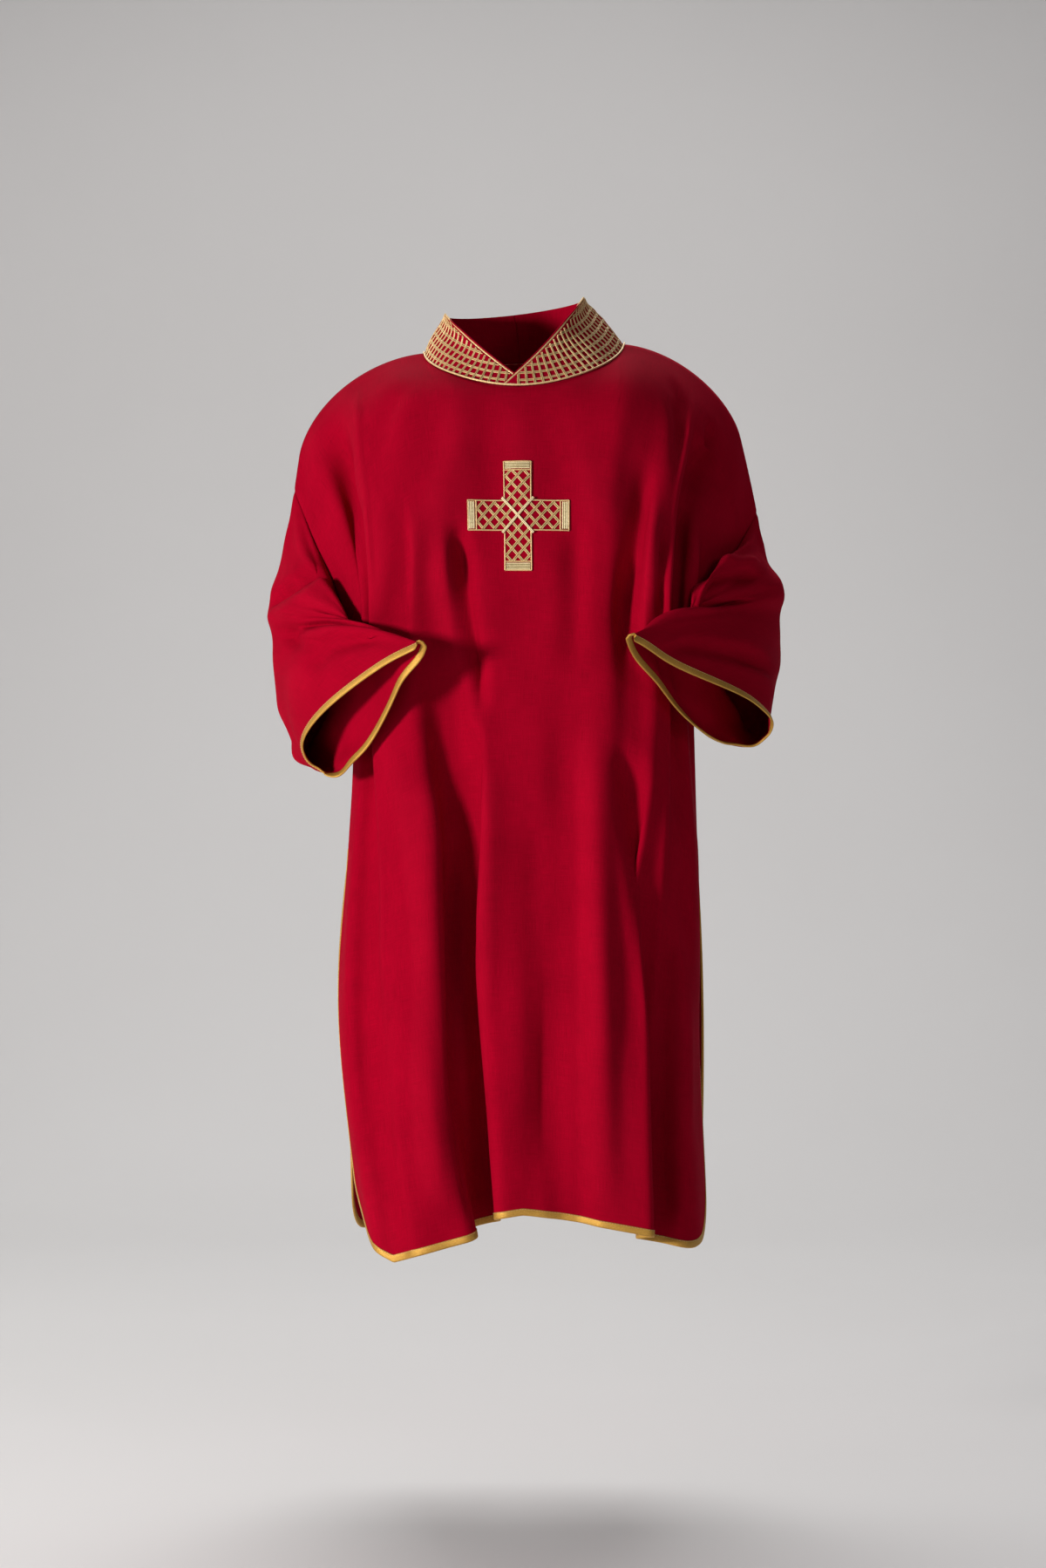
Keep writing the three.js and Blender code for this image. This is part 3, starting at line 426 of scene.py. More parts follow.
BACK_CREASES = (
    Crease(((-232, 0.04), (-234, 0.14), (-238, 0.26), (-238, 0.36)), 1.6, 12.0, 2.8, 0.25),
    Crease(((234, 0.04), (236, 0.14), (238, 0.26), (238, 0.36)), 1.6, 2.8, 12.0, 0.25),
    Crease(((-70, 0.16), (-96, 0.26), (-104, 0.38)), -5.0, 20.0, 16.0, 0.35),
    Crease(((58, 0.18), (82, 0.28), (98, 0.4), (100, 0.5)), -5.5, 16.0, 20.0, 0.35),
    Crease(((-196, 0.18), (-190, 0.28), (-178, 0.38)), 5.0, 14.0, 16.0, 0.35),
    Crease(((206, 0.16), (198, 0.26), (184, 0.38)), 4.5, 16.0, 14.0, 0.35),
    Crease(((0, 0.3), (6, 0.5), (14, 0.75), (18, 0.98)), 6.0, 26.0, 24.0, 0.3),
    Crease(((-60, 0.48), (-66, 0.66), (-76, 0.9)), -5.5, 24.0, 22.0, 0.3),
    Crease(((76, 0.46), (80, 0.64), (86, 0.88)), -5.0, 22.0, 24.0, 0.3),
    Crease(((-232, 0.55), (-244, 0.74), (-256, 0.96)), 4.5, 20.0, 22.0, 0.3),
    Crease(((222, 0.52), (232, 0.7), (244, 0.93)), 4.5, 22.0, 20.0, 0.3),
)
# Creases of the sleeves: the share round from the top by the inner side, and the share along.
RIGHT_ARM_CREASES = (
    Crease(((0.24, 0.16), (0.16, 0.3), (0.08, 0.42), (0.0, 0.44), (-0.08, 0.42)), -7.0, 13.0, 9.0, 0.25),
    Crease(((0.2, 0.3), (0.1, 0.48), (0.02, 0.54), (-0.06, 0.56)), 4.0, 12.0, 12.0, 0.3),
    Crease(((0.05, 0.86), (0.0, 0.76), (-0.04, 0.68), (-0.08, 0.63)), -7.5, 6.0, 9.0, 0.25),
    Crease(((-0.05, 0.6), (-0.11, 0.62), (-0.17, 0.72)), -4.5, 10.0, 10.0, 0.35),
    Crease(((-0.02, 0.9), (-0.08, 0.84), (-0.14, 0.82), (-0.2, 0.84)), -4.0, 14.0, 12.0, 0.35),
    Crease(((-0.04, 0.74), (-0.09, 0.72), (-0.13, 0.75)), 3.5, 14.0, 12.0, 0.35),
    Crease(((-0.24, 0.3), (-0.3, 0.5), (-0.32, 0.72)), 1.6, 28.0, 30.0, 0.4),
    Crease(((0.36, 0.2), (0.42, 0.5), (0.44, 0.8)), -2.2, 26.0, 24.0, 0.35),
    Crease(((0.55, 0.15), (0.56, 0.45), (0.58, 0.75)), 1.6, 26.0, 28.0, 0.4),
)
LEFT_ARM_CREASES = (
    Crease(((0.2, 0.5), (0.16, 0.55), (0.1, 0.5), (0.04, 0.5)), -7.0, 10.0, 12.0, 0.25),
    Crease(((0.2, 0.36), (0.12, 0.4), (0.06, 0.38)), 3.5, 12.0, 12.0, 0.3),
    Crease(((0.06, 0.95), (0.0, 0.82), (-0.03, 0.74), (-0.06, 0.68)), 4.5, 10.0, 12.0, 0.3),
    Crease(((0.12, 0.78), (0.05, 0.72), (0.0, 0.66), (-0.04, 0.6)), -7.5, 7.0, 9.0, 0.25),
    Crease(((-0.1, 0.93), (-0.16, 0.87), (-0.22, 0.79), (-0.3, 0.66)), -6.5, 17.0, 15.0, 0.3),
    Crease(((-0.2, 0.3), (-0.26, 0.5), (-0.3, 0.7)), 1.6, 28.0, 26.0, 0.4),
    Crease(((0.4, 0.2), (0.44, 0.5), (0.46, 0.8)), -2.2, 26.0, 24.0, 0.35),
    Crease(((0.56, 0.15), (0.56, 0.45), (0.58, 0.75)), 1.6, 26.0, 28.0, 0.4),
)


@dataclass
class Undulation:
    """The slight unevenness of hanging cloth, as a sum of seeded long waves."""

    seed: int
    height: float = 0.5
    waves: int = 14
    shortest: float = 60.0
    longest: float = 240.0
    upright: float = 0.4

    def at(self, across: Array, down: Array) -> Array:
        """The height at each place.

        Args:
            across: Millimetres across.
            down: Millimetres down.

        Returns:
            Millimetres out.
        """
        draws = np.random.default_rng(self.seed)
        total = np.zeros(np.shape(across))
        for _ in range(self.waves):
            number = 2.0 * np.pi / draws.uniform(self.shortest, self.longest)
            lean = draws.uniform(-self.upright, self.upright)
            phase = draws.uniform(0.0, 2.0 * np.pi)
            total = total + np.sin(number * (across + lean * down) + phase)
        return total * self.height


@dataclass
class Drape:
    """The form that one body panel takes on the body, traced across from its centre line, row by row.

    A place on it is s, the distance across in the cut, and t, the share of the length down.
    """

    name: str
    out: float
    length: float
    neck_drop: float
    corner: dict[Side, float]
    sections: Table
    folds: dict[Side, list[Fold]]
    creases: Sequence[Crease] = ()
    seed: int = 1
    trace: Array = field(init=False)
    undulation: Undulation = field(init=False)

    def __post_init__(self) -> None:
        """Traces the rows of both halves."""
        left, right = self.half(Side.LEFT), self.half(Side.RIGHT)
        self.trace = np.concatenate([left[:, :0:-1], right], axis=1)
        self.undulation = Undulation(self.seed)

    def edge(self, side: Side, t: Array) -> Array:
        """Where the side edge runs.

        Args:
            side: Which edge.
            t: Shares of the length.

        Returns:
            One point for each share.
        """
        tables = (ARMHOLES[self.name, side], SIDE_SEAMS[side], SLITS[self.name, side])
        armhole, seam, slit = (np.stack([table.at(c, t) for c in "xyz"], axis=-1) for table in tables)
        points = np.where((t < UNDERARM)[:, None], armhole, seam)
        return np.where((t > SLIT_TOP)[:, None], slit, points)

    @staticmethod
    def drop_share(share: Array, t: Array) -> Array:
        """How far a row has dropped towards its edge.

        Args:
            share: Share of the half width.
            t: Share of the length.

        Returns:
            The share of the edge's whole drop.
        """
        over_shoulder = np.maximum(0.0, (share - 0.3) / 0.7) ** 1.7
        over_chest = mix(over_shoulder, ease(0.2, 1.0, share), ease(0.0, 0.3, t))
        return mix(over_chest, share**1.2, ease(0.5, 1.0, t))

    def half(self, side: Side) -> Array:
        """Half of every row, with the folds drawn up until the row just spans to the edge.

        Args:
            side: Which half.

        Returns:
            Points, one row of them for each step down.
        """
        t = np.arange(ROW_STEPS + 1) / ROW_STEPS
        row = {name: self.sections.at(name, t)[:, None] for name in SECTION.split()[1:]}
        edge = self.edge(side, t)
        down = t[:, None]
        fall = edge[:, 2:] - row["z"]
        reach = np.abs(edge[:, 0] - row["x"][:, 0])
        middle = (np.arange(TRACE_STEPS) + 0.5)[None, :] / TRACE_STEPS
        step = PANEL_HALF / TRACE_STEPS
        rise = self.drop_share(middle + SHARE_STEP, down) - self.drop_share(middle - SHARE_STEP, down)
        slope = fall * rise / (2.0 * SHARE_STEP * PANEL_HALF)
        level = np.sqrt(np.maximum(STEEPEST, 1.0 - slope**2))
        start, end = row["start"], row["end"]
        k = clamp((middle - start) / (end - start), 0.0, 1.0)
        body = row["turn"] * k * k * (3.0 - 2.0 * k)
        folded = sum(fold.turn(middle * PANEL_HALF, down) for fold in self.folds[side])

        def walk(fullness: Array) -> tuple[Array, Array]:
            """The traced rows at a fullness for each.

            Args:
                fullness: How far each row's folds are drawn up.

            Returns:
                Distances out to the side and in towards the body, from the centre line.
            """
            heading = np.radians(body + fullness[:, None] * folded)
            x = np.cumsum(np.cos(heading) * level * step, axis=1)
            y = np.cumsum(np.sin(heading) * level * step, axis=1)
            return tuple(np.pad(part, ((0, 0), (1, 0))) for part in (x, y))

        low, high = np.zeros(len(t)), np.full(len(t), FULLNESS_LIMIT)
        for _ in range(FULLNESS_ROUNDS):
            half_way = (low + high) / 2.0
            longer = walk(half_way)[0][:, -1] > reach
            low = np.where(longer, half_way, low)
            high = np.where(longer, high, half_way)
        x, y = walk(low)
        share = np.arange(TRACE_STEPS + 1)[None, :] / TRACE_STEPS
        s = share * PANEL_HALF
        inwards = -self.out
        fix = (edge[:, 1:2] - row["y"]) * inwards - y[:, -1:]
        near_neck = np.maximum(0.0, 1.0 - (s / NECK_HALF) ** 2)
        tilt = row["tilt"] * clamp(side.sign * s / NECK_HALF, -1.0, 1.0) * (1.0 - ease(0.3, 0.9, share))
        return np.stack([
            row["x"] + side.sign * (x + (reach[:, None] - x[:, -1:]) * share),
            row["y"] + inwards * (y + fix * share**2) + row["neck"] * near_neck,
            row["z"] + tilt + fall * self.drop_share(share, down),
        ], axis=-1)

    def point(self, s: Array, t: Array) -> Array:
        """Points of the plain form, by smooth interpolation of the traced rows.

        Args:
            s: Distances across.
            t: Shares of the length.

        Returns:
            One point for each place.
        """
        s, t = floats(s, t)
        rows, columns = self.trace.shape[:2]

        def weights(x: Array, count: int) -> tuple[list[Array], list[Array]]:
            """Catmull-Rom neighbours and weights along one axis.

            Args:
                x: Fractional indices.
                count: How many there are.

            Returns:
                The four indices and the four weights.
            """
            i = np.clip(np.floor(x).astype(int), 0, count - 2)
            k = x - i
            near = [np.clip(i + d, 0, count - 1) for d in (-1, 0, 1, 2)]
            parts = [
                0.5 * (-k + 2 * k**2 - k**3),
                0.5 * (2 - 5 * k**2 + 3 * k**3),
                0.5 * (k + 4 * k**2 - 3 * k**3),
                0.5 * (-(k**2) + k**3),
            ]
            return near, parts

        down = weights(clamp(t, 0.0, 1.0) * ROW_STEPS, rows)
        across = weights((clamp(s / PANEL_HALF, -1.0, 1.0) + 1.0) * TRACE_STEPS, columns)
        total = np.zeros(s.shape + (3,))
        for j, a in zip(*down):
            for i, b in zip(*across):
                total += self.trace[j, i] * (a * b)[..., None]
        return total

    def own_normal(self, s: Array, t: Array) -> Array:
        """Outward normals of this panel alone, from points close by.

        Args:
            s: Distances across.
            t: Shares of the length.

        Returns:
            One unit vector for each place.
        """
        right = np.minimum(PANEL_HALF, s + NORMAL_ACROSS)
        left = np.maximum(-PANEL_HALF, s - NORMAL_ACROSS)
        below, above = np.minimum(1.0, t + NORMAL_DOWN), np.maximum(0.0, t - NORMAL_DOWN)
        across = self.point(right, t) - self.point(left, t)
        down = self.point(s, below) - self.point(s, above)
        return unit(np.cross(across, down)) * self.out

    def neck_share(self, s: Array) -> Array:
        """The share of the length at which a column's cloth starts."""
        return self.neck_drop / self.length * np.sqrt(np.maximum(0.0, 1.0 - (s / NECK_HALF) ** 2))

    def hem_share(self, s: Array, inset: Array) -> Array:
        """The share of the length at which a column's cloth ends.

        Args:
            s: Distances across.
            inset: How far the cloth ends above the hem.

        Returns:
            One share for each column.
        """
        past = clamp((np.abs(s) - (PANEL_HALF - CORNER_RADIUS)) / CORNER_RADIUS, 0.0, 1.0)
        power = np.where(s < 0, self.corner[Side.LEFT], self.corner[Side.RIGHT])
        rise = (CORNER_RADIUS - inset) * (1.0 - (1.0 - past**power) ** (1.0 / power)) + inset
        return 1.0 - rise / self.length

    def place(self, s: Array, t: Array, inset: Array) -> tuple[Array, Array]:
        """Where column s and row t lie in the cut.

        Args:
            s: Columns, as distances across.
            t: Rows, as shares from the top edge to the hem.
            inset: How far the bound edges are kept in.

        Returns:
            Distances across and shares down.
        """
        s, t, inset = floats(s, t, inset)
        bound = mix(SEAM_HALF_GAP, inset, ease(SLIT_TOP, SLIT_TOP + SLIT_START, t))
        past = np.maximum(0.0, np.abs(s) - (PANEL_HALF - CORNER_RADIUS)) / CORNER_RADIUS
        across = s - np.sign(s) * bound * past
        shoulder = np.where(np.abs(s) >= NECK_HALF, SEAM_HALF_GAP, 0.0) / self.length
        top = self.neck_share(s) + shoulder
        bottom = self.hem_share(s, inset)
        upper = top + t * (1.0 - top / SLIT_TOP)
        lower = mix(SLIT_TOP, bottom, (t - SLIT_TOP) / (1.0 - SLIT_TOP))
        return across, np.where(t < SLIT_TOP, upper, lower)

    def relief(self, s: Array, t: Array) -> Array:
        """How far creases and unevenness move the cloth out.

        Args:
            s: Distances across.
            t: Shares of the length.

        Returns:
            Millimetres at each place.
        """
        s, t = floats(s, t)
        total = self.undulation.at(s, t * self.length)
        for crease in self.creases:
            total = total + crease.lift(s, t, (1.0, self.length), False)
        near_side = ease(PANEL_HALF - 26.0, PANEL_HALF - 2.0, np.abs(s))
        sewn = 1.0 - near_side * (1.0 - ease(SLIT_TOP, SLIT_TOP + 0.06, t))
        top = ease(0.0, 0.03, t - self.neck_share(s))
        tuck = seam_tuck(np.abs(s) - PANEL_HALF) * (1.0 - ease(SLIT_TOP - 0.01, SLIT_TOP, t))
        return total * sewn * top + tuck


class Garment:
    """Both panels' drapes, which share their normals and edges where they are sewn together."""

    def __init__(self, front: Drape, back: Drape) -> None:
        """Keeps the two panels by name."""
        self.panels = {"front": front, "back": back}

    def normal(self, name: str, s: Array, t: Array) -> Array:
        """Outward normals, made alike in both panels on the shoulders and at the side seams.

        Args:
            name: Which panel.
            s: Distances across.
            t: Shares of the length.

        Returns:
            One unit vector for each place.
        """
        s, t = floats(s, t)
        own = self.panels[name].own_normal(s, t)
        at_side = ease(PANEL_HALF - 40.0, PANEL_HALF - 12.0, np.abs(s))
        on_seam = ease(UNDERARM - 0.04, UNDERARM - 0.01, t)
        on_seam = on_seam * (1.0 - ease(SLIT_TOP + 0.02, SLIT_TOP + 0.16, t))
        on_shoulder = 1.0 - ease(0.0, 0.03, t)
        share = np.maximum(at_side * on_seam, on_shoulder)[..., None]
        edge = np.where(on_shoulder > 0, s, np.sign(s) * PANEL_HALF)
        row = np.where(on_shoulder > 0, 0.0, t)
        both = unit(sum(panel.own_normal(edge, row) for panel in self.panels.values()))
        return unit(mix(own, both, share))

    def surface(self, name: str, s: Array, t: Array, lift: Any = 0.0) -> tuple[Array, Array]:
        """The panel's creased outer face.

        Args:
            name: Which panel.
            s: Distances across.
            t: Shares of the length.
            lift: Millimetres to move out from the face.

        Returns:
            Points and outward normals.
        """
        panel = self.panels[name]
        normal = self.normal(name, s, t)
        out = (panel.relief(s, t) + lift)[..., None]
        return panel.point(s, t) + normal * out, normal


@dataclass
class Sheet:
    """A sheet of points, row by row, with a normal and a place in the cloth for each."""

    points: Array
    normals: Array
    cloth: Array
    closed: bool = False
    relief: Array | None = None

    def shape_normals(self, out: float) -> "Sheet":
        """Takes the normals from the sheet's own shape.

        Args:
            out: 1 or -1, which way out is.

        Returns:
            The sheet itself.
        """
        if self.closed:
            across = np.roll(self.points, -1, axis=1) - np.roll(self.points, 1, axis=1)
        else:
            padded = np.pad(self.points, ((0, 0), (1, 1), (0, 0)), mode="edge")
            across = padded[:, 2:] - padded[:, :-2]
        padded = np.pad(self.points, ((1, 1), (0, 0), (0, 0)), mode="edge")
        self.normals = unit(np.cross(across, padded[2:] - padded[:-2])) * out
        return self

    def shell(self, name: str, inwards: float, outwards: float = 0.0) -> bpy.types.Object:
        """The closed shell between the sheet moved out and the sheet moved in.

        Args:
            name: The new piece's name.
            inwards: How far the inner face is.
            outwards: How far the outer face is.

        Returns:
            The piece.
        """
        rows, columns = self.points.shape[:2]
        faces_across = columns if self.closed else columns - 1
        outer = self.points + self.normals * outwards
        inner = self.points - self.normals * inwards
        points = np.concatenate([outer.reshape(-1, 3), inner.reshape(-1, 3)])
        number = np.arange(rows * columns).reshape(rows, columns)
        ahead = np.roll(number, -1, axis=1)
        size = rows * columns
        quads, places = [], []

        def lay(a: Array, b: Array, c: Array, d: Array, *cells: Array) -> None:
            """Adds one quad for each entry, with its corners' places in the cloth."""
            quads.append(np.stack([a, b, c, d], axis=-1).reshape(-1, 4))
            places.append(np.stack(cells, axis=-2).reshape(-1, 4, 2))

        def rim(p: Array, q: Array, cp: Array, cq: Array, flip: bool) -> None:
            """Closes the shell between the points p and q of its edge, at cp and cq in the cloth."""
            p, q, cp, cq = (q, p, cq, cp) if flip else (p, q, cp, cq)
            lay(p, q, size + q, size + p, cp, cq, cq, cp)

        up, low = slice(0, rows - 1), slice(1, rows)
        first, second = slice(0, faces_across), slice(1, faces_across + 1)
        a, b = number[up, first], ahead[up, first]
        d, c = number[low, first], ahead[low, first]
        corners = [self.cloth[at] for at in ((up, first), (up, second), (low, second), (low, first))]
        lay(a, b, c, d, *corners)
        lay(size + a, size + d, size + c, size + b, corners[0], *corners[:0:-1])
        for j, flip in ((0, True), (rows - 1, False)):
            rim(number[j, first], ahead[j, first], self.cloth[j, first], self.cloth[j, second], flip)
        if not self.closed:
            for i, flip in ((0, False), (columns - 1, True)):
                rim(number[up, i], number[low, i], self.cloth[up, i], self.cloth[low, i], flip)
        piece = mesh_piece(name, points, np.concatenate(quads), np.concatenate(places))
        if self.relief is not None:
            # The relief kept on the mesh lightens raised cloth in its finish: painted highlight, partly
            # rubbed wear.
            ridge_highlight_and_wear = piece.data.attributes.new("relief", "FLOAT", "POINT")
            ridge_highlight_and_wear.data.foreach_set("value", np.tile(self.relief.ravel(), 2).astype(np.float32))
        return piece


def placed(name: str, data: bpy.types.ID) -> bpy.types.Object:
    """Adds a new object to the scene, at the origin.

    Args:
        name: Its name.
        data: Its mesh, light or camera.

    Returns:
        The object.
    """
    made = bpy.data.objects.new(name, data)
    bpy.context.scene.collection.objects.link(made)
    return made


def mesh_piece(name: str, points: Array, quads: Array, places: Array | None = None) -> bpy.types.Object:
    """A smooth mesh of quads, turned so that its faces point out.

    Args:
        name: The new object's name.
        points: Corners, in millimetres.
        quads: Four corner numbers for each face.
        places: The four corners' places in the cloth, in millimetres.

    Returns:
        The new object, at the origin.
    """
    a, b, c, d = (points[quads[:, i]] for i in range(4))
    volume = np.einsum("ij,ij->", a, np.cross(b, c)) + np.einsum("ij,ij->", a, np.cross(c, d))
    if volume < 0:
        quads = quads[:, ::-1]
        places = None if places is None else places[:, ::-1]
    mesh = bpy.data.meshes.new(name)
    mesh.vertices.add(len(points))
    mesh.vertices.foreach_set("co", (points * MM).ravel())
    mesh.loops.add(quads.size)
    mesh.loops.foreach_set("vertex_index", quads.ravel().astype(np.int32))
    mesh.polygons.add(len(quads))
    mesh.polygons.foreach_set("loop_start", np.arange(0, quads.size, 4, dtype=np.int32))
    mesh.update(calc_edges=True)
    if places is not None:
        layer = mesh.uv_layers.new(name="cloth")
        layer.data.foreach_set("uv", (places * MM).ravel())
    mesh.validate()
    mesh.shade_smooth()
    return placed(name, mesh)


def strip(name: str, rings: Array, along: Array, around: Array, closed: bool) -> bpy.types.Object:
    """A solid strip: a closed section carried along a path.

    Args:
        name: The new object's name.
        rings: The section's points at each step of the path.
        along: Distance along the path at each step, one more than the steps if it is closed.
        around: Distance round the section at each point, and once more at the end.
        closed: Whether the path closes on itself.

    Returns:
        The new object.
    """
    steps, sides = rings.shape[:2]
    number = np.arange(steps * sides).reshape(steps, sides)
    onwards = np.roll(number, -1, axis=0)
    last = steps if closed else steps - 1
    a, b = number[:last], np.roll(number, -1, axis=1)[:last]
    d, c = onwards[:last], np.roll(onwards, -1, axis=1)[:last]
    quads = np.stack([a, b, c, d], axis=-1).reshape(-1, 4)
    u, v = np.meshgrid(along, around, indexing="ij")
    place = np.stack([u, v], axis=-1)
    corners = (place[:last, :-1], place[:last, 1:], place[1 : last + 1, 1:], place[1 : last + 1, :-1])
    places = np.stack(corners, axis=-2).reshape(-1, 4, 2)
    if not closed:
        for ring, cell, turned in ((number[0], place[0], True), (number[-1], place[last], False)):
            half = sides // 2
            for i in range(half - 1):
                corner = [i, i + 1, sides - 2 - i, sides - 1 - i]
                if turned:
                    corner.reverse()
                quads = np.vstack([quads, ring[corner]])
                places = np.concatenate([places, cell[corner][None]])
    return mesh_piece(name, rings.reshape(-1, 3), quads, places)


def lengths_along(points: Array, closed: bool = False) -> Array:
    """The distance along a line at each of its points.

    Args:
        points: The line.
        closed: Whether to add the way back to the first point.

    Returns:
        Distances, starting at 0.
    """
    line = np.vstack([points, points[:1]]) if closed else points
    steps = np.linalg.norm(np.diff(line, axis=0), axis=1)
    return np.concatenate([[0.0], np.cumsum(steps)])


# The braid's section: distance in from the bound edge, and height above the cloth's outer face.
BRAID_SECTION = np.array([
    (9.5, 0.12), (9.2, 0.62), (8.0, 0.78), (5.0, 0.9), (2.2, 0.8), (0.8, 0.5), (0.15, -0.6),
    (0.8, -1.75), (2.2, -2.05), (5.0, -2.15), (8.0, -2.03), (9.2, -1.9), (9.5, -1.42),
    (9.1, -1.38), (5.0, -1.42), (1.6, -1.35), (1.0, -0.65), (1.6, 0.05), (5.0, 0.12), (9.1, 0.08),
])


# How far a trellis's upper threads lie above the ones that they cross.
OVER_LIFT = 0.35

# The braid's stitches: their inset from the bound edge, how far apart they start, and the heights
# of a stitch's two ends and middle above the cloth.
STITCH_INSET = 8.55
STITCH_PITCH = 3.6
STITCH_LIFTS = (0.72, 1.02, 0.72)
STITCH_SIZES = {"thread_radius": 0.0003, "lay": 0.003, "groove": 0.15, "step": 0.0006}


def around_section(section: Array) -> Array:
    """The distance round a closed section at each of its points, and once more at the end."""
    return lengths_along(section, closed=True)


@dataclass
class BodyPanel:
    """One body panel with the braid that binds its slits and hem."""

    garment: Garment
    name: str
    rows: int = 190
    column_step: float = 3.9
    corner_columns: int = 34
    rim: float = 1.9
    braid_step: float = 3.0
    slit_steps: int = 190

    def columns(self) -> Array:
        """The panel's columns, closer together round the lower corners.

        Returns:
            Distances across.
        """
        straight = PANEL_HALF - CORNER_RADIUS
        middle = np.linspace(0.0, straight, int(straight / self.column_step))
        angles = np.linspace(0.0, np.pi / 2.0, self.corner_columns + 1)[1:]
        right = np.concatenate([middle, PANEL_HALF - CORNER_RADIUS * (1.0 - np.sin(angles))])
        return np.concatenate([-right[:0:-1], right])

    def sheet(self) -> Sheet:
        """The creased cloth, with a row where the slits start.

        Returns:
            The sheet.
        """
        above = int(self.rows * SLIT_TOP)
        rows = np.concatenate([
            np.linspace(0.0, SLIT_TOP, above, endpoint=False),
            np.linspace(SLIT_TOP, 1.0, self.rows - above),
        ])
        s, t = np.meshgrid(self.columns(), rows)
        s, t = self.garment.panels[self.name].place(s, t, self.rim)
        points, normals = self.garment.surface(self.name, s, t)
        panel = self.garment.panels[self.name]
        cloth = np.stack([s, t * panel.length], axis=-1)
        return Sheet(points, normals, cloth, relief=panel.relief(s, t))

    def edge_places(self, step: float) -> tuple[Array, Array, Array]:
        """Places at even distances along the bound edge, from one slit top round to the other.

        Args:
            step: The distance wanted.

        Returns:
            Columns, rows and distances along.
        """
        slit = np.linspace(SLIT_TOP + SLIT_START, 1.0, self.slit_steps)
        columns = self.columns()[1:-1]
        s = np.concatenate([np.full(slit.size, -PANEL_HALF), columns, np.full(slit.size, PANEL_HALF)])
        t = np.concatenate([slit, np.ones(columns.size), slit[::-1]])
        panel = self.garment.panels[self.name]
        edge = panel.point(*panel.place(s, t, SEAM_HALF_GAP))
        along = lengths_along(edge)
        even = np.linspace(0.0, along[-1], int(along[-1] / step))
        return np.interp(even, along, s), np.interp(even, along, t), even

    def braid(self) -> bpy.types.Object:
        """The braid, folded over the edge.

        Returns:
            The piece.
        """
        s, t, along = self.edge_places(self.braid_step)
        inset, height = BRAID_SECTION[:, 0][None, :], BRAID_SECTION[:, 1][None, :]
        across, down = self.garment.panels[self.name].place(s[:, None], t[:, None], inset)
        points, _ = self.garment.surface(self.name, across, down, np.broadcast_to(height, across.shape))
        return strip(f"{self.name}_binding", points, along, around_section(BRAID_SECTION), False)

    def stitches(self) -> list[Array]:
        """The small stitches that hold the braid's inner edge.

        Returns:
            Three points for each stitch.
        """
        s, t, _ = self.edge_places(STITCH_PITCH / 3.0)
        across, down = self.garment.panels[self.name].place(s, t, STITCH_INSET)
        lift = np.resize(STITCH_LIFTS, s.size)
        points, _ = self.garment.surface(self.name, across, down, lift)
        return [points[i : i + 3] for i in range(0, len(points) - 2, 3)]

    def build(self, thread: "ThreadTree") -> dict[str, bpy.types.Object]:
        """The panel's cloth, its braid and the braid's stitches.

        Args:
            thread: Lays the stitches.

        Returns:
            The pieces by name.
        """
        cloth = self.sheet().shell(f"{self.name}_cloth", CLOTH_THICK)
        stitches = thread.lay(f"{self.name}_stitches", self.stitches(), **STITCH_SIZES)
        return {"cloth": cloth, "braid": self.braid(), "stitches": stitches}


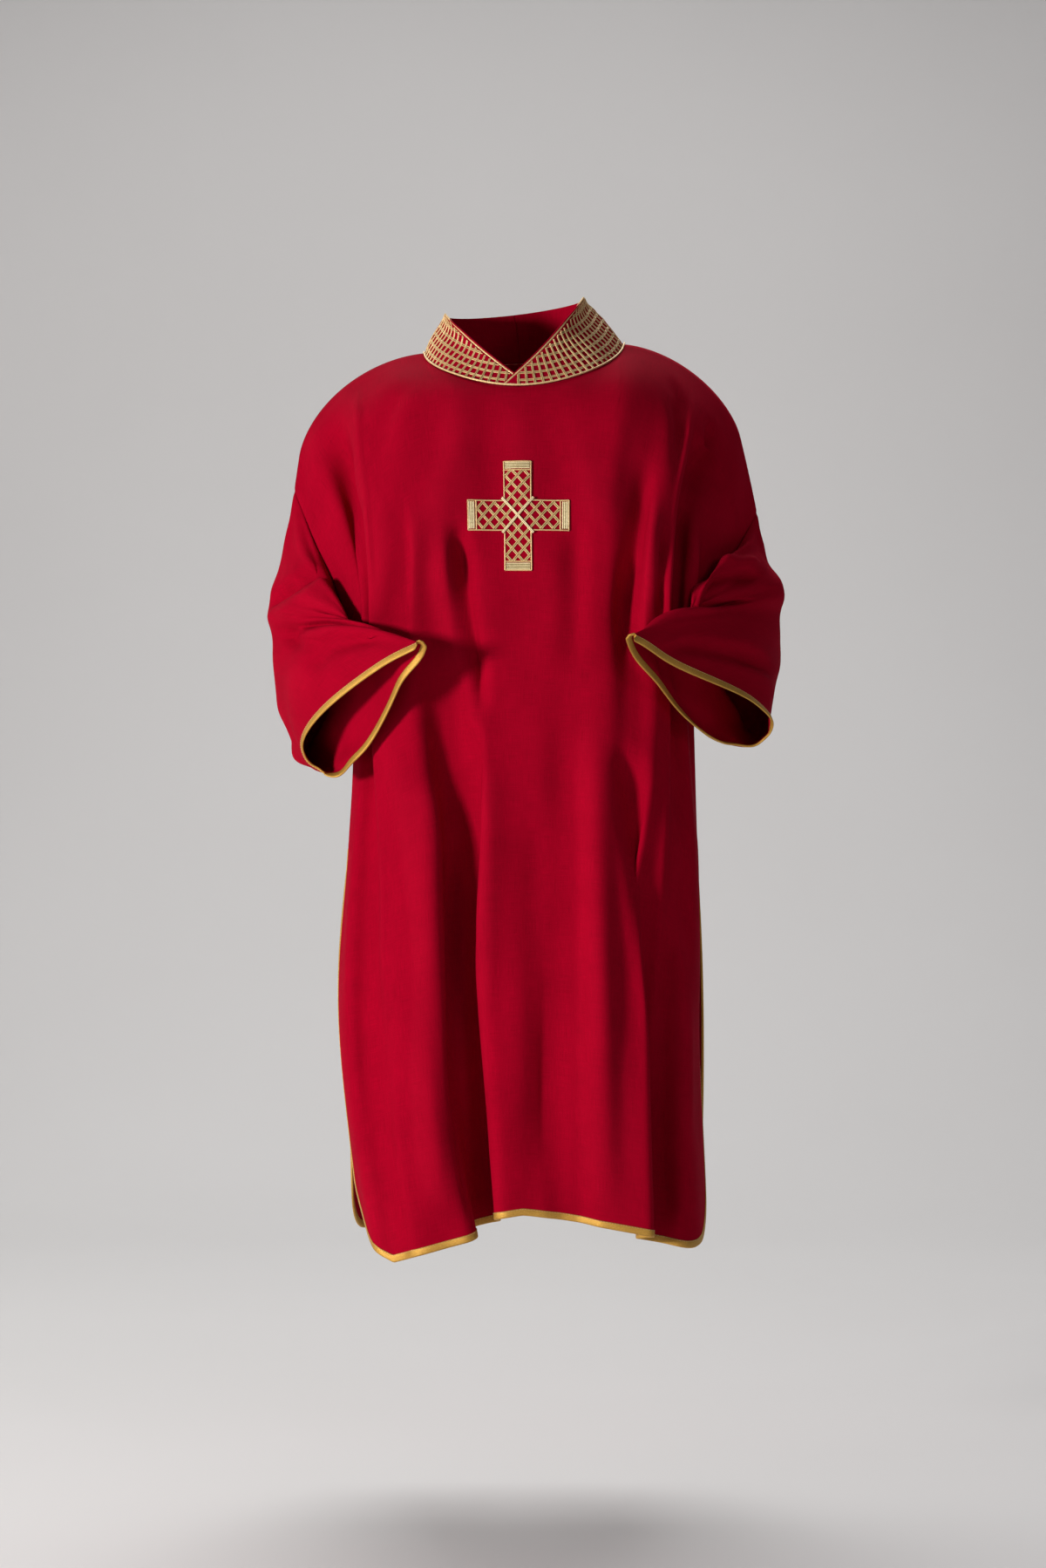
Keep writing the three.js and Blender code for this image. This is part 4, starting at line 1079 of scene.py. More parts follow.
@dataclass
class Sleeve:
    """A wide sleeve from its armhole seam to its bound cuff."""

    garment: Garment
    side: Side
    name: str
    rings: dict[float, tuple[tuple[float, float, float], ...]]
    creases: Sequence[Crease] = ()
    seed: int = 11
    around: int = 216
    along: int = 110
    girth: float = 760.0
    reach: float = 300.0
    rim: float = 1.9
    least_square: float = 0.8

    def armhole(self, v: Array) -> Array:
        """The armhole seam, down the front's edge and up the back's.

        Args:
            v: Shares of the way round from the shoulder.

        Returns:
            One point for each share.
        """
        s = np.full(np.shape(v), self.side.sign * PANEL_HALF)
        front = self.garment.panels["front"].point(s, UNDERARM * clamp(v / 0.5, 0.0, 1.0))
        back = self.garment.panels["back"].point(s, UNDERARM * clamp((1.0 - v) / 0.5, 0.0, 1.0))
        return np.where((v < 0.5)[..., None], front, back)

    @staticmethod
    def round_ring(ring: Sequence[Sequence[float]], v: Array) -> Array:
        """A closed smooth curve by a ring's six points.

        Args:
            ring: The points.
            v: Shares of the way round.

        Returns:
            One point for each share.
        """
        points = np.array(ring, dtype=float)
        at = (v % 1.0) * len(points)
        i = np.floor(at).astype(int) % len(points)
        k = (at - np.floor(at))[..., None]
        a, b, d, e = (points[(i + shift) % len(points)] for shift in (-1, 0, 1, 2))
        through = b + 0.5 * k * (d - a + k * (2 * a - 5 * b + 4 * d - e + k * (3 * (b - d) + e - a)))
        cubes = a * (1 - k) ** 3 + b * (3 * k**3 - 6 * k**2 + 4) + e * k**3
        near = (cubes + d * (1 + 3 * k + 3 * k**2 - 3 * k**3)) / 6.0
        return mix(through, near, ROUNDING)

    def point(self, v: Array, u: Array) -> Array:
        """Points of the plain sleeve.

        Args:
            v: Shares of the way round, one for each column.
            u: Shares of the way to the cuff, rows by columns.

        Returns:
            Rows by columns of points.
        """
        knots = [0.0, *self.rings]
        curves = np.stack([self.armhole(v), *(self.round_ring(ring, v) for ring in self.rings.values())])
        slopes = np.empty_like(curves)
        for i in range(len(knots)):
            a, b = max(0, i - 1), min(len(knots) - 1, i + 1)
            slopes[i] = (curves[b] - curves[a]) / (knots[b] - knots[a])
        knots = np.array(knots)
        column = np.broadcast_to(np.arange(v.size), u.shape)
        i = np.searchsorted(knots[1:-1], u, side="left")
        span = (knots[i + 1] - knots[i])[..., None]
        k = clamp((u[..., None] - knots[i][..., None]) / span, 0.0, 1.0)
        p, q = curves[i, column], curves[i + 1, column]
        m, n = slopes[i, column], slopes[i + 1, column]
        bend = span * (m * k * (1 - k) ** 2 - n * (1 - k) * k**2)
        return p * (1 + 2 * k) * (1 - k) ** 2 + q * (3 - 2 * k) * k**2 + bend

    def relief(self, v: Array, u: Array) -> Array:
        """How far creases and unevenness move the cloth out.

        Args:
            v: Shares of the way round.
            u: Shares of the way to the cuff.

        Returns:
            Millimetres at each place.
        """
        sideways = np.sin(2 * np.pi * v) * self.girth / 6
        total = Undulation(self.seed, upright=1.2).at(sideways, u * self.reach)
        for crease in self.creases:
            total = total + crease.lift(v, u, (self.girth, self.reach), True)
        return total * ease(0.0, 0.12, u) + seam_tuck(u * self.reach)

    def sheet(self) -> tuple[Sheet, Array]:
        """The creased sleeve, ending short of the cuff by the braid's width so that rows can run on inside
        the braid.

        Returns:
            The sheet, and the way on from the cuff at each column.
        """
        v = np.arange(self.around) / self.around
        rim = self.point(v, np.ones((1, v.size)))[0]
        tangent = unit(np.roll(rim, -1, axis=0) - np.roll(rim, 1, axis=0))
        back = rim - self.point(v, np.full((1, v.size), 1.0 - CUFF_STEP))[0]
        length = np.linalg.norm(back, axis=1)
        square = np.linalg.norm(np.cross(back, tangent), axis=1)
        shares = CUFF_STEP / np.maximum(self.least_square * length, square)
        u = np.linspace(0.0, 1.0, self.along)[:, None] * (1.0 - BRAID_WIDTH * shares)[None, :]
        points = self.point(v, u)
        cloth = np.stack(np.broadcast_arrays(v[None, :] * self.girth, u * self.reach), axis=-1)
        cloth = np.concatenate([cloth, cloth[:, :1] + [self.girth, 0.0]], axis=1)
        sheet = Sheet(points, points, cloth, True).shape_normals(self.side.sign)
        edge, normals = sheet.points[-1], sheet.normals[-1]
        around = np.roll(edge, -1, axis=0) - np.roll(edge, 1, axis=0)
        ways = unit(np.cross(around, normals))
        ways *= np.sign(np.einsum("ij,ij->i", ways, edge - sheet.points[-2]))[:, None]
        lift = self.relief(np.broadcast_to(v, u.shape), u)
        sheet.points = sheet.points + sheet.normals * lift[..., None]
        sheet.relief = lift
        return sheet, ways

    @staticmethod
    def stitches(edge: Array, ways: Array, normals: Array) -> list[Array]:
        """The small stitches that hold the cuff braid's inner edge.

        Args:
            edge: The sleeve's edge under the braid.
            ways: The way on from it at each point.
            normals: The cloth's normals there.

        Returns:
            Three points for each stitch.
        """
        along = lengths_along(edge, closed=True)
        count = 3 * int(along[-1] / STITCH_PITCH)
        even = np.arange(count) / count * along[-1]
        lifts = np.resize(STITCH_LIFTS, count)[:, None]
        at, way, normal = (
            read_line(even, along, np.vstack([part, part[:1]])) for part in (edge, ways, normals)
        )
        points = at + way * (BRAID_WIDTH - STITCH_INSET) + normal * lifts
        return [points[i : i + 3] for i in range(0, count, 3)]

    def build(self, thread: "ThreadTree") -> dict[str, bpy.types.Object]:
        """The sleeve's cloth, its cuff braid and the braid's stitches.

        Args:
            thread: Lays the stitches.

        Returns:
            The pieces by name.
        """
        sheet, ways = self.sheet()
        edge, normals = sheet.points[-1], sheet.normals[-1]
        inset = BRAID_SECTION[:, 0]
        run = (BRAID_WIDTH - inset)[None, :, None] * ways[:, None, :]
        height = BRAID_SECTION[:, 1][None, :, None] * normals[:, None, :]
        rings = edge[:, None, :] + run + height
        on = np.linspace(0.0, BRAID_WIDTH - self.rim, 5)[1:]
        extra = edge[None] + ways[None] * on[:, None, None]
        more = sheet.cloth[-1:] + np.stack([np.zeros(4), on], axis=-1)[:, None, :]
        full = Sheet(
            np.concatenate([sheet.points, extra]),
            np.concatenate([sheet.normals, np.broadcast_to(normals, extra.shape)]),
            np.concatenate([sheet.cloth, more]),
            True,
            np.concatenate([sheet.relief, np.zeros(extra.shape[:2])]),
        )
        name = f"{self.name}_cloth"
        along = lengths_along(edge, closed=True)
        braid = strip(f"{self.name}_binding", rings, along, around_section(BRAID_SECTION), True)
        lines = self.stitches(edge, ways, normals)
        stitches = thread.lay(f"{self.name}_stitches", lines, **STITCH_SIZES)
        return {"cloth": full.shell(name, CLOTH_THICK), "braid": braid, "stitches": stitches}


# The collar's top edge: an ellipse round the neck that rises towards +X.
COLLAR_TOP = {"x": -11.0, "y": 12.0, "rx": 92.0, "ry": 70.0, "z": 56.0, "tilt": 11.0}


@dataclass
class CollarHalf:
    """Half of the stand collar, from the centre back to its slanting front edge.

    A place on it is k, the share of the way round, and v, the share of the height.
    """

    garment: Garment
    side: Side
    name: str
    lap_at: float
    under: float
    corner: tuple[float, float, float]
    swell: tuple[float, float] = (3.5, 10.0)
    sweep: float = 100.0
    sweep_power: float = 3.4
    sweep_evenness: float = 0.15
    tip_from: float = 0.4
    foot_lift: float = 0.5
    cut: tuple[float, float] = (250.0, 72.0)
    rows: int = 26
    columns: int = 150
    grid_rows: int = 61
    grid_columns: int = 181
    levelled: int = 240
    pitch: float = 10.9
    first_level: float = 0.75
    highest: float = 110.0

    def base(self, k: Array) -> tuple[Array, Array]:
        """The foot on the neckline.

        Args:
            k: Shares of the way round.

        Returns:
            Points and normals.
        """
        gone = k * (2.0 * NECK_HALF - self.side.sign * self.lap_at)
        on_back = gone < NECK_HALF
        s = self.side.sign * np.where(on_back, gone, 2.0 * NECK_HALF - gone)
        zero = np.zeros(np.shape(k))
        points, normals = [], []
        for name in ("back", "front"):
            at = self.garment.panels[name].place(s, zero, 0.0)
            points.append(self.garment.panels[name].point(*at))
            normals.append(self.garment.normal(name, *at))
        pick = on_back[..., None]
        return np.where(pick, *points), np.where(pick, *normals)

    def surface(self, k: Array, v: Array) -> tuple[Array, Array]:
        """The collar's outer face before it is lapped.

        Args:
            k: Shares of the way round.
            v: Shares of the height.

        Returns:
            Points, and the way straight out from the neck.
        """
        foot, normal = self.base(k)
        foot = foot + normal * self.foot_lift
        swept = mix(1.0 - (1.0 - k) ** self.sweep_power, k, self.sweep_evenness)
        to_tip = clamp((k - self.tip_from) / (1.0 - self.tip_from), 0.0, 1.0) ** 2
        angle = np.radians(90.0 - self.side.sign * swept * self.sweep)
        x = COLLAR_TOP["x"] + COLLAR_TOP["rx"] * np.cos(angle)
        y = COLLAR_TOP["y"] + COLLAR_TOP["ry"] * np.sin(angle)
        z = COLLAR_TOP["z"] + COLLAR_TOP["tilt"] * np.cos(angle)
        top = mix(np.stack([x, y, z], axis=-1), np.array(self.corner), to_tip[..., None])
        out = top - np.array([COLLAR_TOP["x"], COLLAR_TOP["y"], 0.0])
        out[..., 2] = 0.0
        out = unit(out)
        bow = mix(*self.swell, ease(0.5, 1.0, k)) * np.sin(np.pi * v)
        return mix(foot, top, v[..., None]) + out * bow[..., None], out

    def lapped(self, k: Array, v: Array) -> Array:
        """The outer face with its lap tucked under the other half's.

        Args:
            k: Shares of the way round.
            v: Shares of the height.

        Returns:
            One point for each place.
        """
        points, out = self.surface(k, v)
        deep = self.under * ease(0.6, 0.86, k) * (1.0 - ease(0.3, 0.8, v))
        return points - out * deep[..., None]

    def face(self, k: Array, v: Array, lift: float = 0.0) -> tuple[Array, Array]:
        """The lapped outer face and its normals.

        Args:
            k: Shares of the way round.
            v: Shares of the height.
            lift: Millimetres to move out from it.

        Returns:
            Points and outward normals.
        """
        k, v = floats(k, v)
        ahead, behind = np.minimum(1.0, k + COLLAR_ROUND), np.maximum(0.0, k - COLLAR_ROUND)
        above, below = np.minimum(1.0, v + COLLAR_UP), np.maximum(0.0, v - COLLAR_UP)
        across = self.lapped(ahead, v) - self.lapped(behind, v)
        up = self.lapped(k, above) - self.lapped(k, below)
        normals = unit(np.cross(across, up)) * -self.side.sign
        return self.lapped(k, v) + normals * lift, normals

    def plumb(self, shares: Array, lift: float) -> tuple[Array, Array]:
        """Lines that climb the collar square to its foot.

        Args:
            shares: Where each starts, as a share of the foot from the centre back.
            lift: Millimetres above the cloth.

        Returns:
            Points, a row for each line, and the height of each above the foot. Where a line has
            left the collar its height is not a number.
        """
        k, v = np.meshgrid(np.linspace(0.0, 1.0, self.grid_columns), np.linspace(0.0, 1.0, self.grid_rows))
        grid = self.face(k, v, lift)[0]
        number = np.arange(self.grid_columns)
        start = np.interp(shares, k[0], number)
        apart = 1.5
        foot, ahead, behind = (
            read_line(start + off, number, grid[0]) for off in (0.0, apart, -apart)
        )
        way = unit(ahead - behind)
        past = np.einsum("vkc,nc->nvk", grid, way) - np.einsum("nc,nc->n", foot, way)[:, None, None]
        first = np.argmax(past > 0.0, axis=-1)
        on = (np.take_along_axis(past, first[..., None], -1)[..., 0] > 0.0) & (first > 0)
        on = np.cumprod(on, axis=1) > 0
        before = np.maximum(first - 1, 0)
        low = np.take_along_axis(past, before[..., None], -1)[..., 0]
        high = np.take_along_axis(past, first[..., None], -1)[..., 0]
        part = clamp(-low / np.maximum(high - low, 1e-9), 0.0, 1.0)[..., None]
        row = np.broadcast_to(np.arange(grid.shape[0]), first.shape)
        points = mix(grid[row, before], grid[row, first], part)
        height = np.linalg.norm(points - foot[:, None, :], axis=-1)
        return points, np.where(on, height, np.nan)

    def climbing(self, offset: float, lift: float) -> list[Array]:
        """The trellis's threads that climb from the foot.

        Args:
            offset: How far each lies from its pair's middle.
            lift: How far its own middle lies above the cloth.

        Returns:
            Each thread's line.
        """
        shares = np.linspace(0.0, 1.0, self.grid_columns)
        foot = lengths_along(self.face(shares, np.zeros(shares.size))[0])
        marks = np.arange(self.pitch / 2.0, foot[-1], self.pitch)
        lines = []
        for points, height in zip(*self.plumb(np.interp(marks + offset, foot, shares), lift)):
            kept = np.flatnonzero(~np.isnan(height))
            if len(kept) > 2:
                lines.append(points[kept])
        return lines

    def level(self, offset: float, points: Array, height: Array) -> list[Array]:
        """The trellis's threads that run round the neck.

        Args:
            offset: How far each lies from its pair's middle.
            points: Points up the collar, a row for each of many places on the foot.
            height: The height of each above the foot, not a number where it is off the collar.

        Returns:
            Each thread's line.
        """
        top = np.nanmax(height, axis=1)
        lines = []
        for level in np.arange(self.pitch * self.first_level, self.highest, self.pitch) + offset:
            reached = np.flatnonzero(top > level)
            for run in runs_of(reached):
                line = []
                for column in run:
                    good = ~np.isnan(height[column])
                    line.append(read_line(level, height[column][good], points[column][good]))
                if len(line) > 2:
                    lines.append(np.array(line))
        return lines

    def lattice(self, offsets: Sequence[float] = (-1.0, 1.0), lift: float = 0.3) -> list[Array]:
        """The couched trellis: threads round the neck, and others square to them from the foot.

        Args:
            offsets: Where the threads of a pair lie, from its middle.
            lift: How far the threads' middles lie above the cloth.

        Returns:
            Each thread's line.
        """
        lines = []
        for offset in offsets:
            lines += self.climbing(offset, lift + OVER_LIFT)
        points, height = self.plumb(np.linspace(0.003, 0.997, self.levelled), lift)
        for offset in offsets:
            lines += self.level(offset, points, height)
        return lines

    def build(self) -> bpy.types.Object:
        """The collar half's cloth.

        Returns:
            The piece.
        """
        k, v = np.meshgrid(np.linspace(0.0, 1.0, self.columns), np.linspace(0.0, 1.0, self.rows))
        points, normals = self.face(k, v)
        cloth = np.stack([k * self.cut[0], v * self.cut[1]], axis=-1)
        return Sheet(points, normals, cloth).shell(f"collar_{self.name}_cloth", COLLAR_THICK)


def cord(name: str, path: Array, radius: float, closed: bool, sides: int = 12,
         groove: float = 0.22, strands: int = 3, lay: float = 5.0) -> bpy.types.Object:
    """A cord of three twisted strands along a path.

    Args:
        name: The new object's name.
        path: Points close together.
        radius: The cord's radius.
        closed: Whether it closes on itself.
        sides: Points round it.
        groove: How deep the strands' grooves are, as a share of the radius.
        strands: How many strands are twisted.
        lay: The length in which one comes to the next one's place.

    Returns:
        The new object.
    """
    if closed:
        tangent = unit(np.roll(path, -1, axis=0) - np.roll(path, 1, axis=0))
    else:
        padded = np.pad(path, ((1, 1), (0, 0)), mode="edge")
        tangent = unit(padded[2:] - padded[:-2])
    along = lengths_along(path, closed)
    turns = max(1, round(along[-1] / lay)) if closed else along[-1] / lay
    twist = along[: len(path)] / along[-1] * turns * 2.0 * np.pi
    first = unit(np.cross(np.array([0.0, 0.0, 1.0]), tangent))
    second = np.cross(tangent, first)
    angle = np.arange(sides) / sides * 2.0 * np.pi
    wave = np.abs(np.cos(0.5 * strands * (angle[None, :] - twist[:, None] / strands)))
    r = radius * (1.0 - groove + groove * wave)
    rings = path[:, None, :] + first[:, None, :] * (r * np.cos(angle))[..., None]
    rings = rings + second[:, None, :] * (r * np.sin(angle))[..., None]
    around = np.arange(sides + 1) / sides * 2.0 * np.pi * radius
    return strip(name, rings, along, around, closed)


def evenly(path: Array, step: float, closed: bool) -> Array:
    """The path with points at even distances.

    Args:
        path: Its points.
        step: The distance wanted.
        closed: Whether it closes on itself.

    Returns:
        The new points.
    """
    line = np.vstack([path, path[:1]]) if closed else path
    along = lengths_along(line)
    count = max(3, int(along[-1] / step))
    even = np.linspace(0.0, along[-1], count, endpoint=not closed)
    return read_line(even, along, line)


def runs_of(numbers: Array) -> list[Array]:
    """Rising numbers, split wherever one is left out."""
    return np.split(numbers, np.flatnonzero(np.diff(numbers) > 1) + 1)


@dataclass
class Collar:
    """Both halves of the collar with the cords on their edges and round the foot."""

    halves: Sequence[CollarHalf]
    garment: Garment
    cord_step: float = 0.75
    piping_radius: float = 1.0
    piping_apart: float = 0.6
    tip_away: float = 0.2

    def edge_line(self, half: CollarHalf, away: float, at_tip: float) -> Array:
        """A line off a half's slanting edge, at the middle of the collar's thickness.

        Args:
            half: The collar half.
            away: Millimetres out from the edge.
            at_tip: The same at the tip.

        Returns:
            Points at even distances.
        """
        v = np.linspace(0.0, 1.0, 80)
        row, normals = half.face(np.ones(v.size), v)
        padded = np.pad(row, ((1, 1), (0, 0)), mode="edge")
        outward = unit(np.cross(padded[2:] - padded[:-2], normals)) * -half.side.sign
        off = mix(away, at_tip, ease(0.7, 1.0, v))[:, None]
        return evenly(row + outward * off - normals * (COLLAR_THICK / 2.0), self.cord_step, False)

    def edge_cord(self, half: CollarHalf) -> bpy.types.Object:
        """The cord up a half's slanting edge."""
        path = self.edge_line(half, CORD_RADIUS + CORD_GAP, self.tip_away)
        return cord(f"collar_{half.name}_edge_cord", path, CORD_RADIUS, False)

    def piping(self, half: CollarHalf) -> bpy.types.Object:
        """The narrow roll of the collar's own cloth inside the edge cord.

        Args:
            half: The collar half.

        Returns:
            The piece.
        """
        away = 2.0 * CORD_RADIUS + CORD_GAP + self.piping_apart * self.piping_radius
        path = self.edge_line(half, away, 0.0)
        return cord(f"collar_{half.name}_piping", path, self.piping_radius, False, groove=0.0)

    def foot_cord(self) -> bpy.types.Object:
        """The cord round the collar's foot.

        Returns:
            The piece.
        """
        s = np.linspace(-NECK_HALF, NECK_HALF, 160, endpoint=False)
        away = np.array([NECK_CENTRE[0], NECK_CENTRE[1], 0.0])
        parts = []
        for name, across in (("front", s), ("back", -s)):
            at = self.garment.panels[name].place(across, np.zeros(s.size), 0.0)
            points, normals = self.garment.panels[name].point(*at), self.garment.normal(name, *at)
            outward = points - away
            outward[:, 2] = 0.0
            parts.append(points + (normals + unit(outward)) * (CORD_RADIUS + CORD_GAP))
        path = evenly(np.vstack(parts), self.cord_step, True)
        return cord("collar_foot_cord", path, CORD_RADIUS, True)

    def build(self) -> dict[str, bpy.types.Object]:
        """Both halves with their cords and piping.

        Returns:
            The collar's pieces by name.
        """
        pieces = {"foot": self.foot_cord()}
        for half in self.halves:
            pieces[half.name] = half.build()
            pieces[f"{half.name}_cord"] = self.edge_cord(half)
            pieces[f"{half.name}_piping"] = self.piping(half)
        return pieces


@dataclass
class ChestCross:
    """The embroidered cross laid on the front."""

    garment: Garment
    s: float = -3.0
    t: float = 0.241
    half_width: float = 73.5
    half_height: float = 70.5
    half_arm: float = 20.0
    lift: float = 0.2
    thick: float = 0.9
    step: float = 2.5
    diagonal: float = 16.9
    pairs: int = 7
    trellis_end: float = 59.5
    trellis_margin: float = 2.2
    bar_cords: tuple[float, float] = (60.6, 58.6)
    bar_margin: float = 2.6
    bar_first: float = 2.4
    bar_step: float = 2.35
    cord_lift: float = 0.3

    def on_front(self, x: Array, y: Array, lift: Any = 0.0) -> tuple[Array, Array]:
        """Points of the front under the cross.

        Args:
            x: Millimetres right of its middle.
            y: Millimetres below its middle.
            lift: Millimetres above the front's face.

        Returns:
            Points and normals.
        """
        length = self.garment.panels["front"].length
        x, y = floats(x, y)
        return self.garment.surface("front", self.s + x, self.t + y / length, lift)

    def grid_lines(self, half: float) -> Array:
        """Lines of the ground's grid across one direction, with the arm's edges among them.

        Args:
            half: Half of the cross's size that way.

        Returns:
            Distances from the middle.
        """
        end = np.linspace(self.half_arm, half, round((half - self.half_arm) / self.step) + 1)
        middle = np.linspace(0.0, self.half_arm, round(self.half_arm / self.step) + 1)
        right = np.concatenate([middle, end[1:]])
        return np.concatenate([-right[:0:-1], right])

    def ground(self) -> bpy.types.Object:
        """The cross's cloth ground, a thin plate that follows the front.

        Returns:
            The piece.
        """
        x, y = self.grid_lines(self.half_width), self.grid_lines(self.half_height)
        gx, gy = np.meshgrid(x, y)
        top, normals = self.on_front(gx, gy, self.lift + self.thick)
        foot = top - normals * self.thick
        mid_x = np.abs((x[1:] + x[:-1]) / 2.0)[None, :] < self.half_arm
        mid_y = np.abs((y[1:] + y[:-1]) / 2.0)[:, None] < self.half_arm
        kept = np.pad(mid_x | mid_y, 1)
        size = gx.size
        number = np.arange(size).reshape(gx.shape)
        place = np.stack([gx, gy], axis=-1)
        quads, places = [], []
        for j in range(len(y) - 1):
            for i in range(len(x) - 1):
                if not kept[j + 1, i + 1]:
                    continue
                spots = [(j, i), (j, i + 1), (j + 1, i + 1), (j + 1, i)]
                a = [number[p] for p in spots]
                b = [place[p] for p in spots]
                quads.append(a)
                places.append(b)
                quads.append([size + n for n in reversed(a)])
                places.append(b[::-1])
                for n, (dj, di) in enumerate(((-1, 0), (0, 1), (1, 0), (0, -1))):
                    if not kept[j + 1 + dj, i + 1 + di]:
                        p, q = a[n], a[(n + 1) % 4]
                        quads.append([q, p, size + p, size + q])
                        places.append([b[(n + 1) % 4], b[n], b[n], b[(n + 1) % 4]])
        points = np.concatenate([top.reshape(-1, 3), foot.reshape(-1, 3)])
        used, inverse = np.unique(np.array(quads), return_inverse=True)
        numbers = inverse.reshape(-1, 4)
        return mesh_piece("cross_ground", points[used], numbers, np.array(places, dtype=float))

    def line(self, start: tuple[float, float], end: tuple[float, float], lift: float) -> Array:
        """A straight line of the embroidery, laid on the ground.

        Args:
            start: Its first end, right and down from the cross's middle.
            end: Its other end.
            lift: Millimetres above the ground's face.

        Returns:
            Its points.
        """
        count = max(3, int(math.dist(start, end) / 1.5))
        x, y = np.linspace(start[0], end[0], count), np.linspace(start[1], end[1], count)
        return self.on_front(x, y, self.lift + self.thick + lift)[0]

    def trellis(self, offsets: Sequence[float] = (-1.5, 1.5)) -> list[Array]:
        """Threads slanting both ways across the arms, side by side in pairs.

        Args:
            offsets: Where the threads of a pair lie, along the diagonal.

        Returns:
            Each thread's line.
        """
        inner, end = self.half_arm - self.trellis_margin, self.trellis_end
        x = np.arange(-90.0, 90.0, 0.5)
        lines = []
        for way, lift in ((-1.0, self.cord_lift), (1.0, self.cord_lift + OVER_LIFT)):
            for n in range(-self.pairs, self.pairs + 1):
                for offset in offsets:
                    y = way * (n * self.diagonal + offset - x)
                    upright = (np.abs(x) < inner) & (np.abs(y) < end)
                    level = (np.abs(y) < inner) & (np.abs(x) < end)
                    for run in runs_of(np.flatnonzero(upright | level)):
                        if len(run) > 5:
                            a, b = run[0], run[-1]
                            lines.append(self.line((x[a], y[a]), (x[b], y[b]), lift))
        return lines

    def outline(self, inset: float = 0.9) -> list[Array]:
        """The cord round the cross's edge, and the one inside each end bar.

        Args:
            inset: How far the cord's middle lies inside the edge.

        Returns:
            Each cord's line.
        """
        a, h, w = self.half_arm - inset, self.half_height - inset, self.half_width - inset
        quarter = [(w, -a), (w, a), (a, a), (a, h)]
        corners = quarter + [(-x, y) for x, y in quarter[::-1]]
        corners = corners + [(-x, -y) for x, y in corners]
        lines = [self.line(p, q, self.cord_lift) for p, q in zip(corners, corners[1:] + corners[:1])]
        x, y = self.bar_cords
        lines += [self.line((at, -a), (at, a), self.cord_lift) for at in (-x, x)]
        lines += [self.line((-a, at), (a, at), self.cord_lift) for at in (-y, y)]
        return lines

    def bars(self, count: int = 4, lift: float = 0.5, more: float = 0.0) -> list[Array]:
        """The padded satin rows that close each arm's end.

        Args:
            count: Rows in each bar.
            lift: Millimetres above the ground's face.
            more: How much further in they lie, as a share of the way to the next row.

        Returns:
            Each row's line.
        """
        a = self.half_arm - self.bar_margin
        lines = []
        for i in range(count):
            inset = self.bar_first + (i + more) * self.bar_step
            x, y = self.half_width - inset, self.half_height - inset
            for sign in (-1.0, 1.0):
                lines.append(self.line((sign * x, -a), (sign * x, a), lift))
                lines.append(self.line((-a, sign * y), (a, sign * y), lift))
        return lines

    def bar_groove_shade(self) -> list[Array]:
        """Dark thread laid in the gaps between the end bars' rows: painted shade in those grooves."""
        return self.bars(3, 0.6, more=0.5)

    def centre_bands(self, reach: float = 22.5) -> list[Array]:
        """The pale bands that cross over the middle.

        Args:
            reach: How far each runs from the middle, across and down.

        Returns:
            Two lines for each band.
        """
        lines = []
        for sign, lift in ((1.0, 1.5), (-1.0, 2.0)):
            for d in (-0.62, 0.62):
                start, end = (-reach + d, sign * (-reach - d)), (reach + d, sign * (reach - d))
                lines.append(self.line(start, end, lift))
        return lines

    def build(self, thread: "ThreadTree", pale: "ThreadTree",
              dull: "ThreadTree") -> dict[str, bpy.types.Object]:
        """The cross's pieces by name.

        Args:
            thread: Lays gold thread.
            pale: Lays the paler thread.
            dull: Lays the darker thread between the pairs, and the dark thread in the gaps between the end
                bars' rows, which is painted shade in those grooves.

        Returns:
            Its pieces.
        """
        sizes = {"lay": 0.005, "groove": 0.22}
        return {
            "ground": self.ground(),
            "trellis": thread.lay("cross_trellis", self.trellis(),
                                  thread_radius=0.0008, step=0.0011, **sizes),
            # This piece also holds dark thread in the gaps between the end bars' rows: painted shade in
            # those grooves.
            "couching": dull.lay("cross_couching", self.trellis((0.0,)) + self.bar_groove_shade(),
                                 thread_radius=0.0006, step=0.0013, **sizes),
            "outline": thread.lay("cross_outline", self.outline(),
                                  thread_radius=0.00105, step=0.001, **sizes),
            "bars": pale.lay("cross_end_bars", self.bars(),
                             thread_radius=0.00098, step=0.001, **sizes),
            "bands": pale.lay("cross_centre_bands", self.centre_bands(),
                              thread_radius=0.00095, step=0.001, **sizes),
        }


class Value:
    """A number in a material, so that arithmetic on it adds Math nodes."""

    def __init__(self, bench: "Bench", socket: bpy.types.NodeSocket) -> None:
        """Wraps one socket of a bench's material."""
        self.bench, self.socket = bench, socket

    def __add__(self, other: Any) -> "Value":
        """The sum."""
        return self.bench.math("ADD", self, other)

    def __sub__(self, other: Any) -> "Value":
        """The difference."""
        return self.bench.math("SUBTRACT", self, other)

    def __rsub__(self, other: Any) -> "Value":
        """The difference the other way round."""
        return self.bench.math("SUBTRACT", other, self)

    def __mul__(self, other: Any) -> "Value":
        """The product."""
        return self.bench.math("MULTIPLY", self, other)

    __radd__ = __add__
    __rmul__ = __mul__


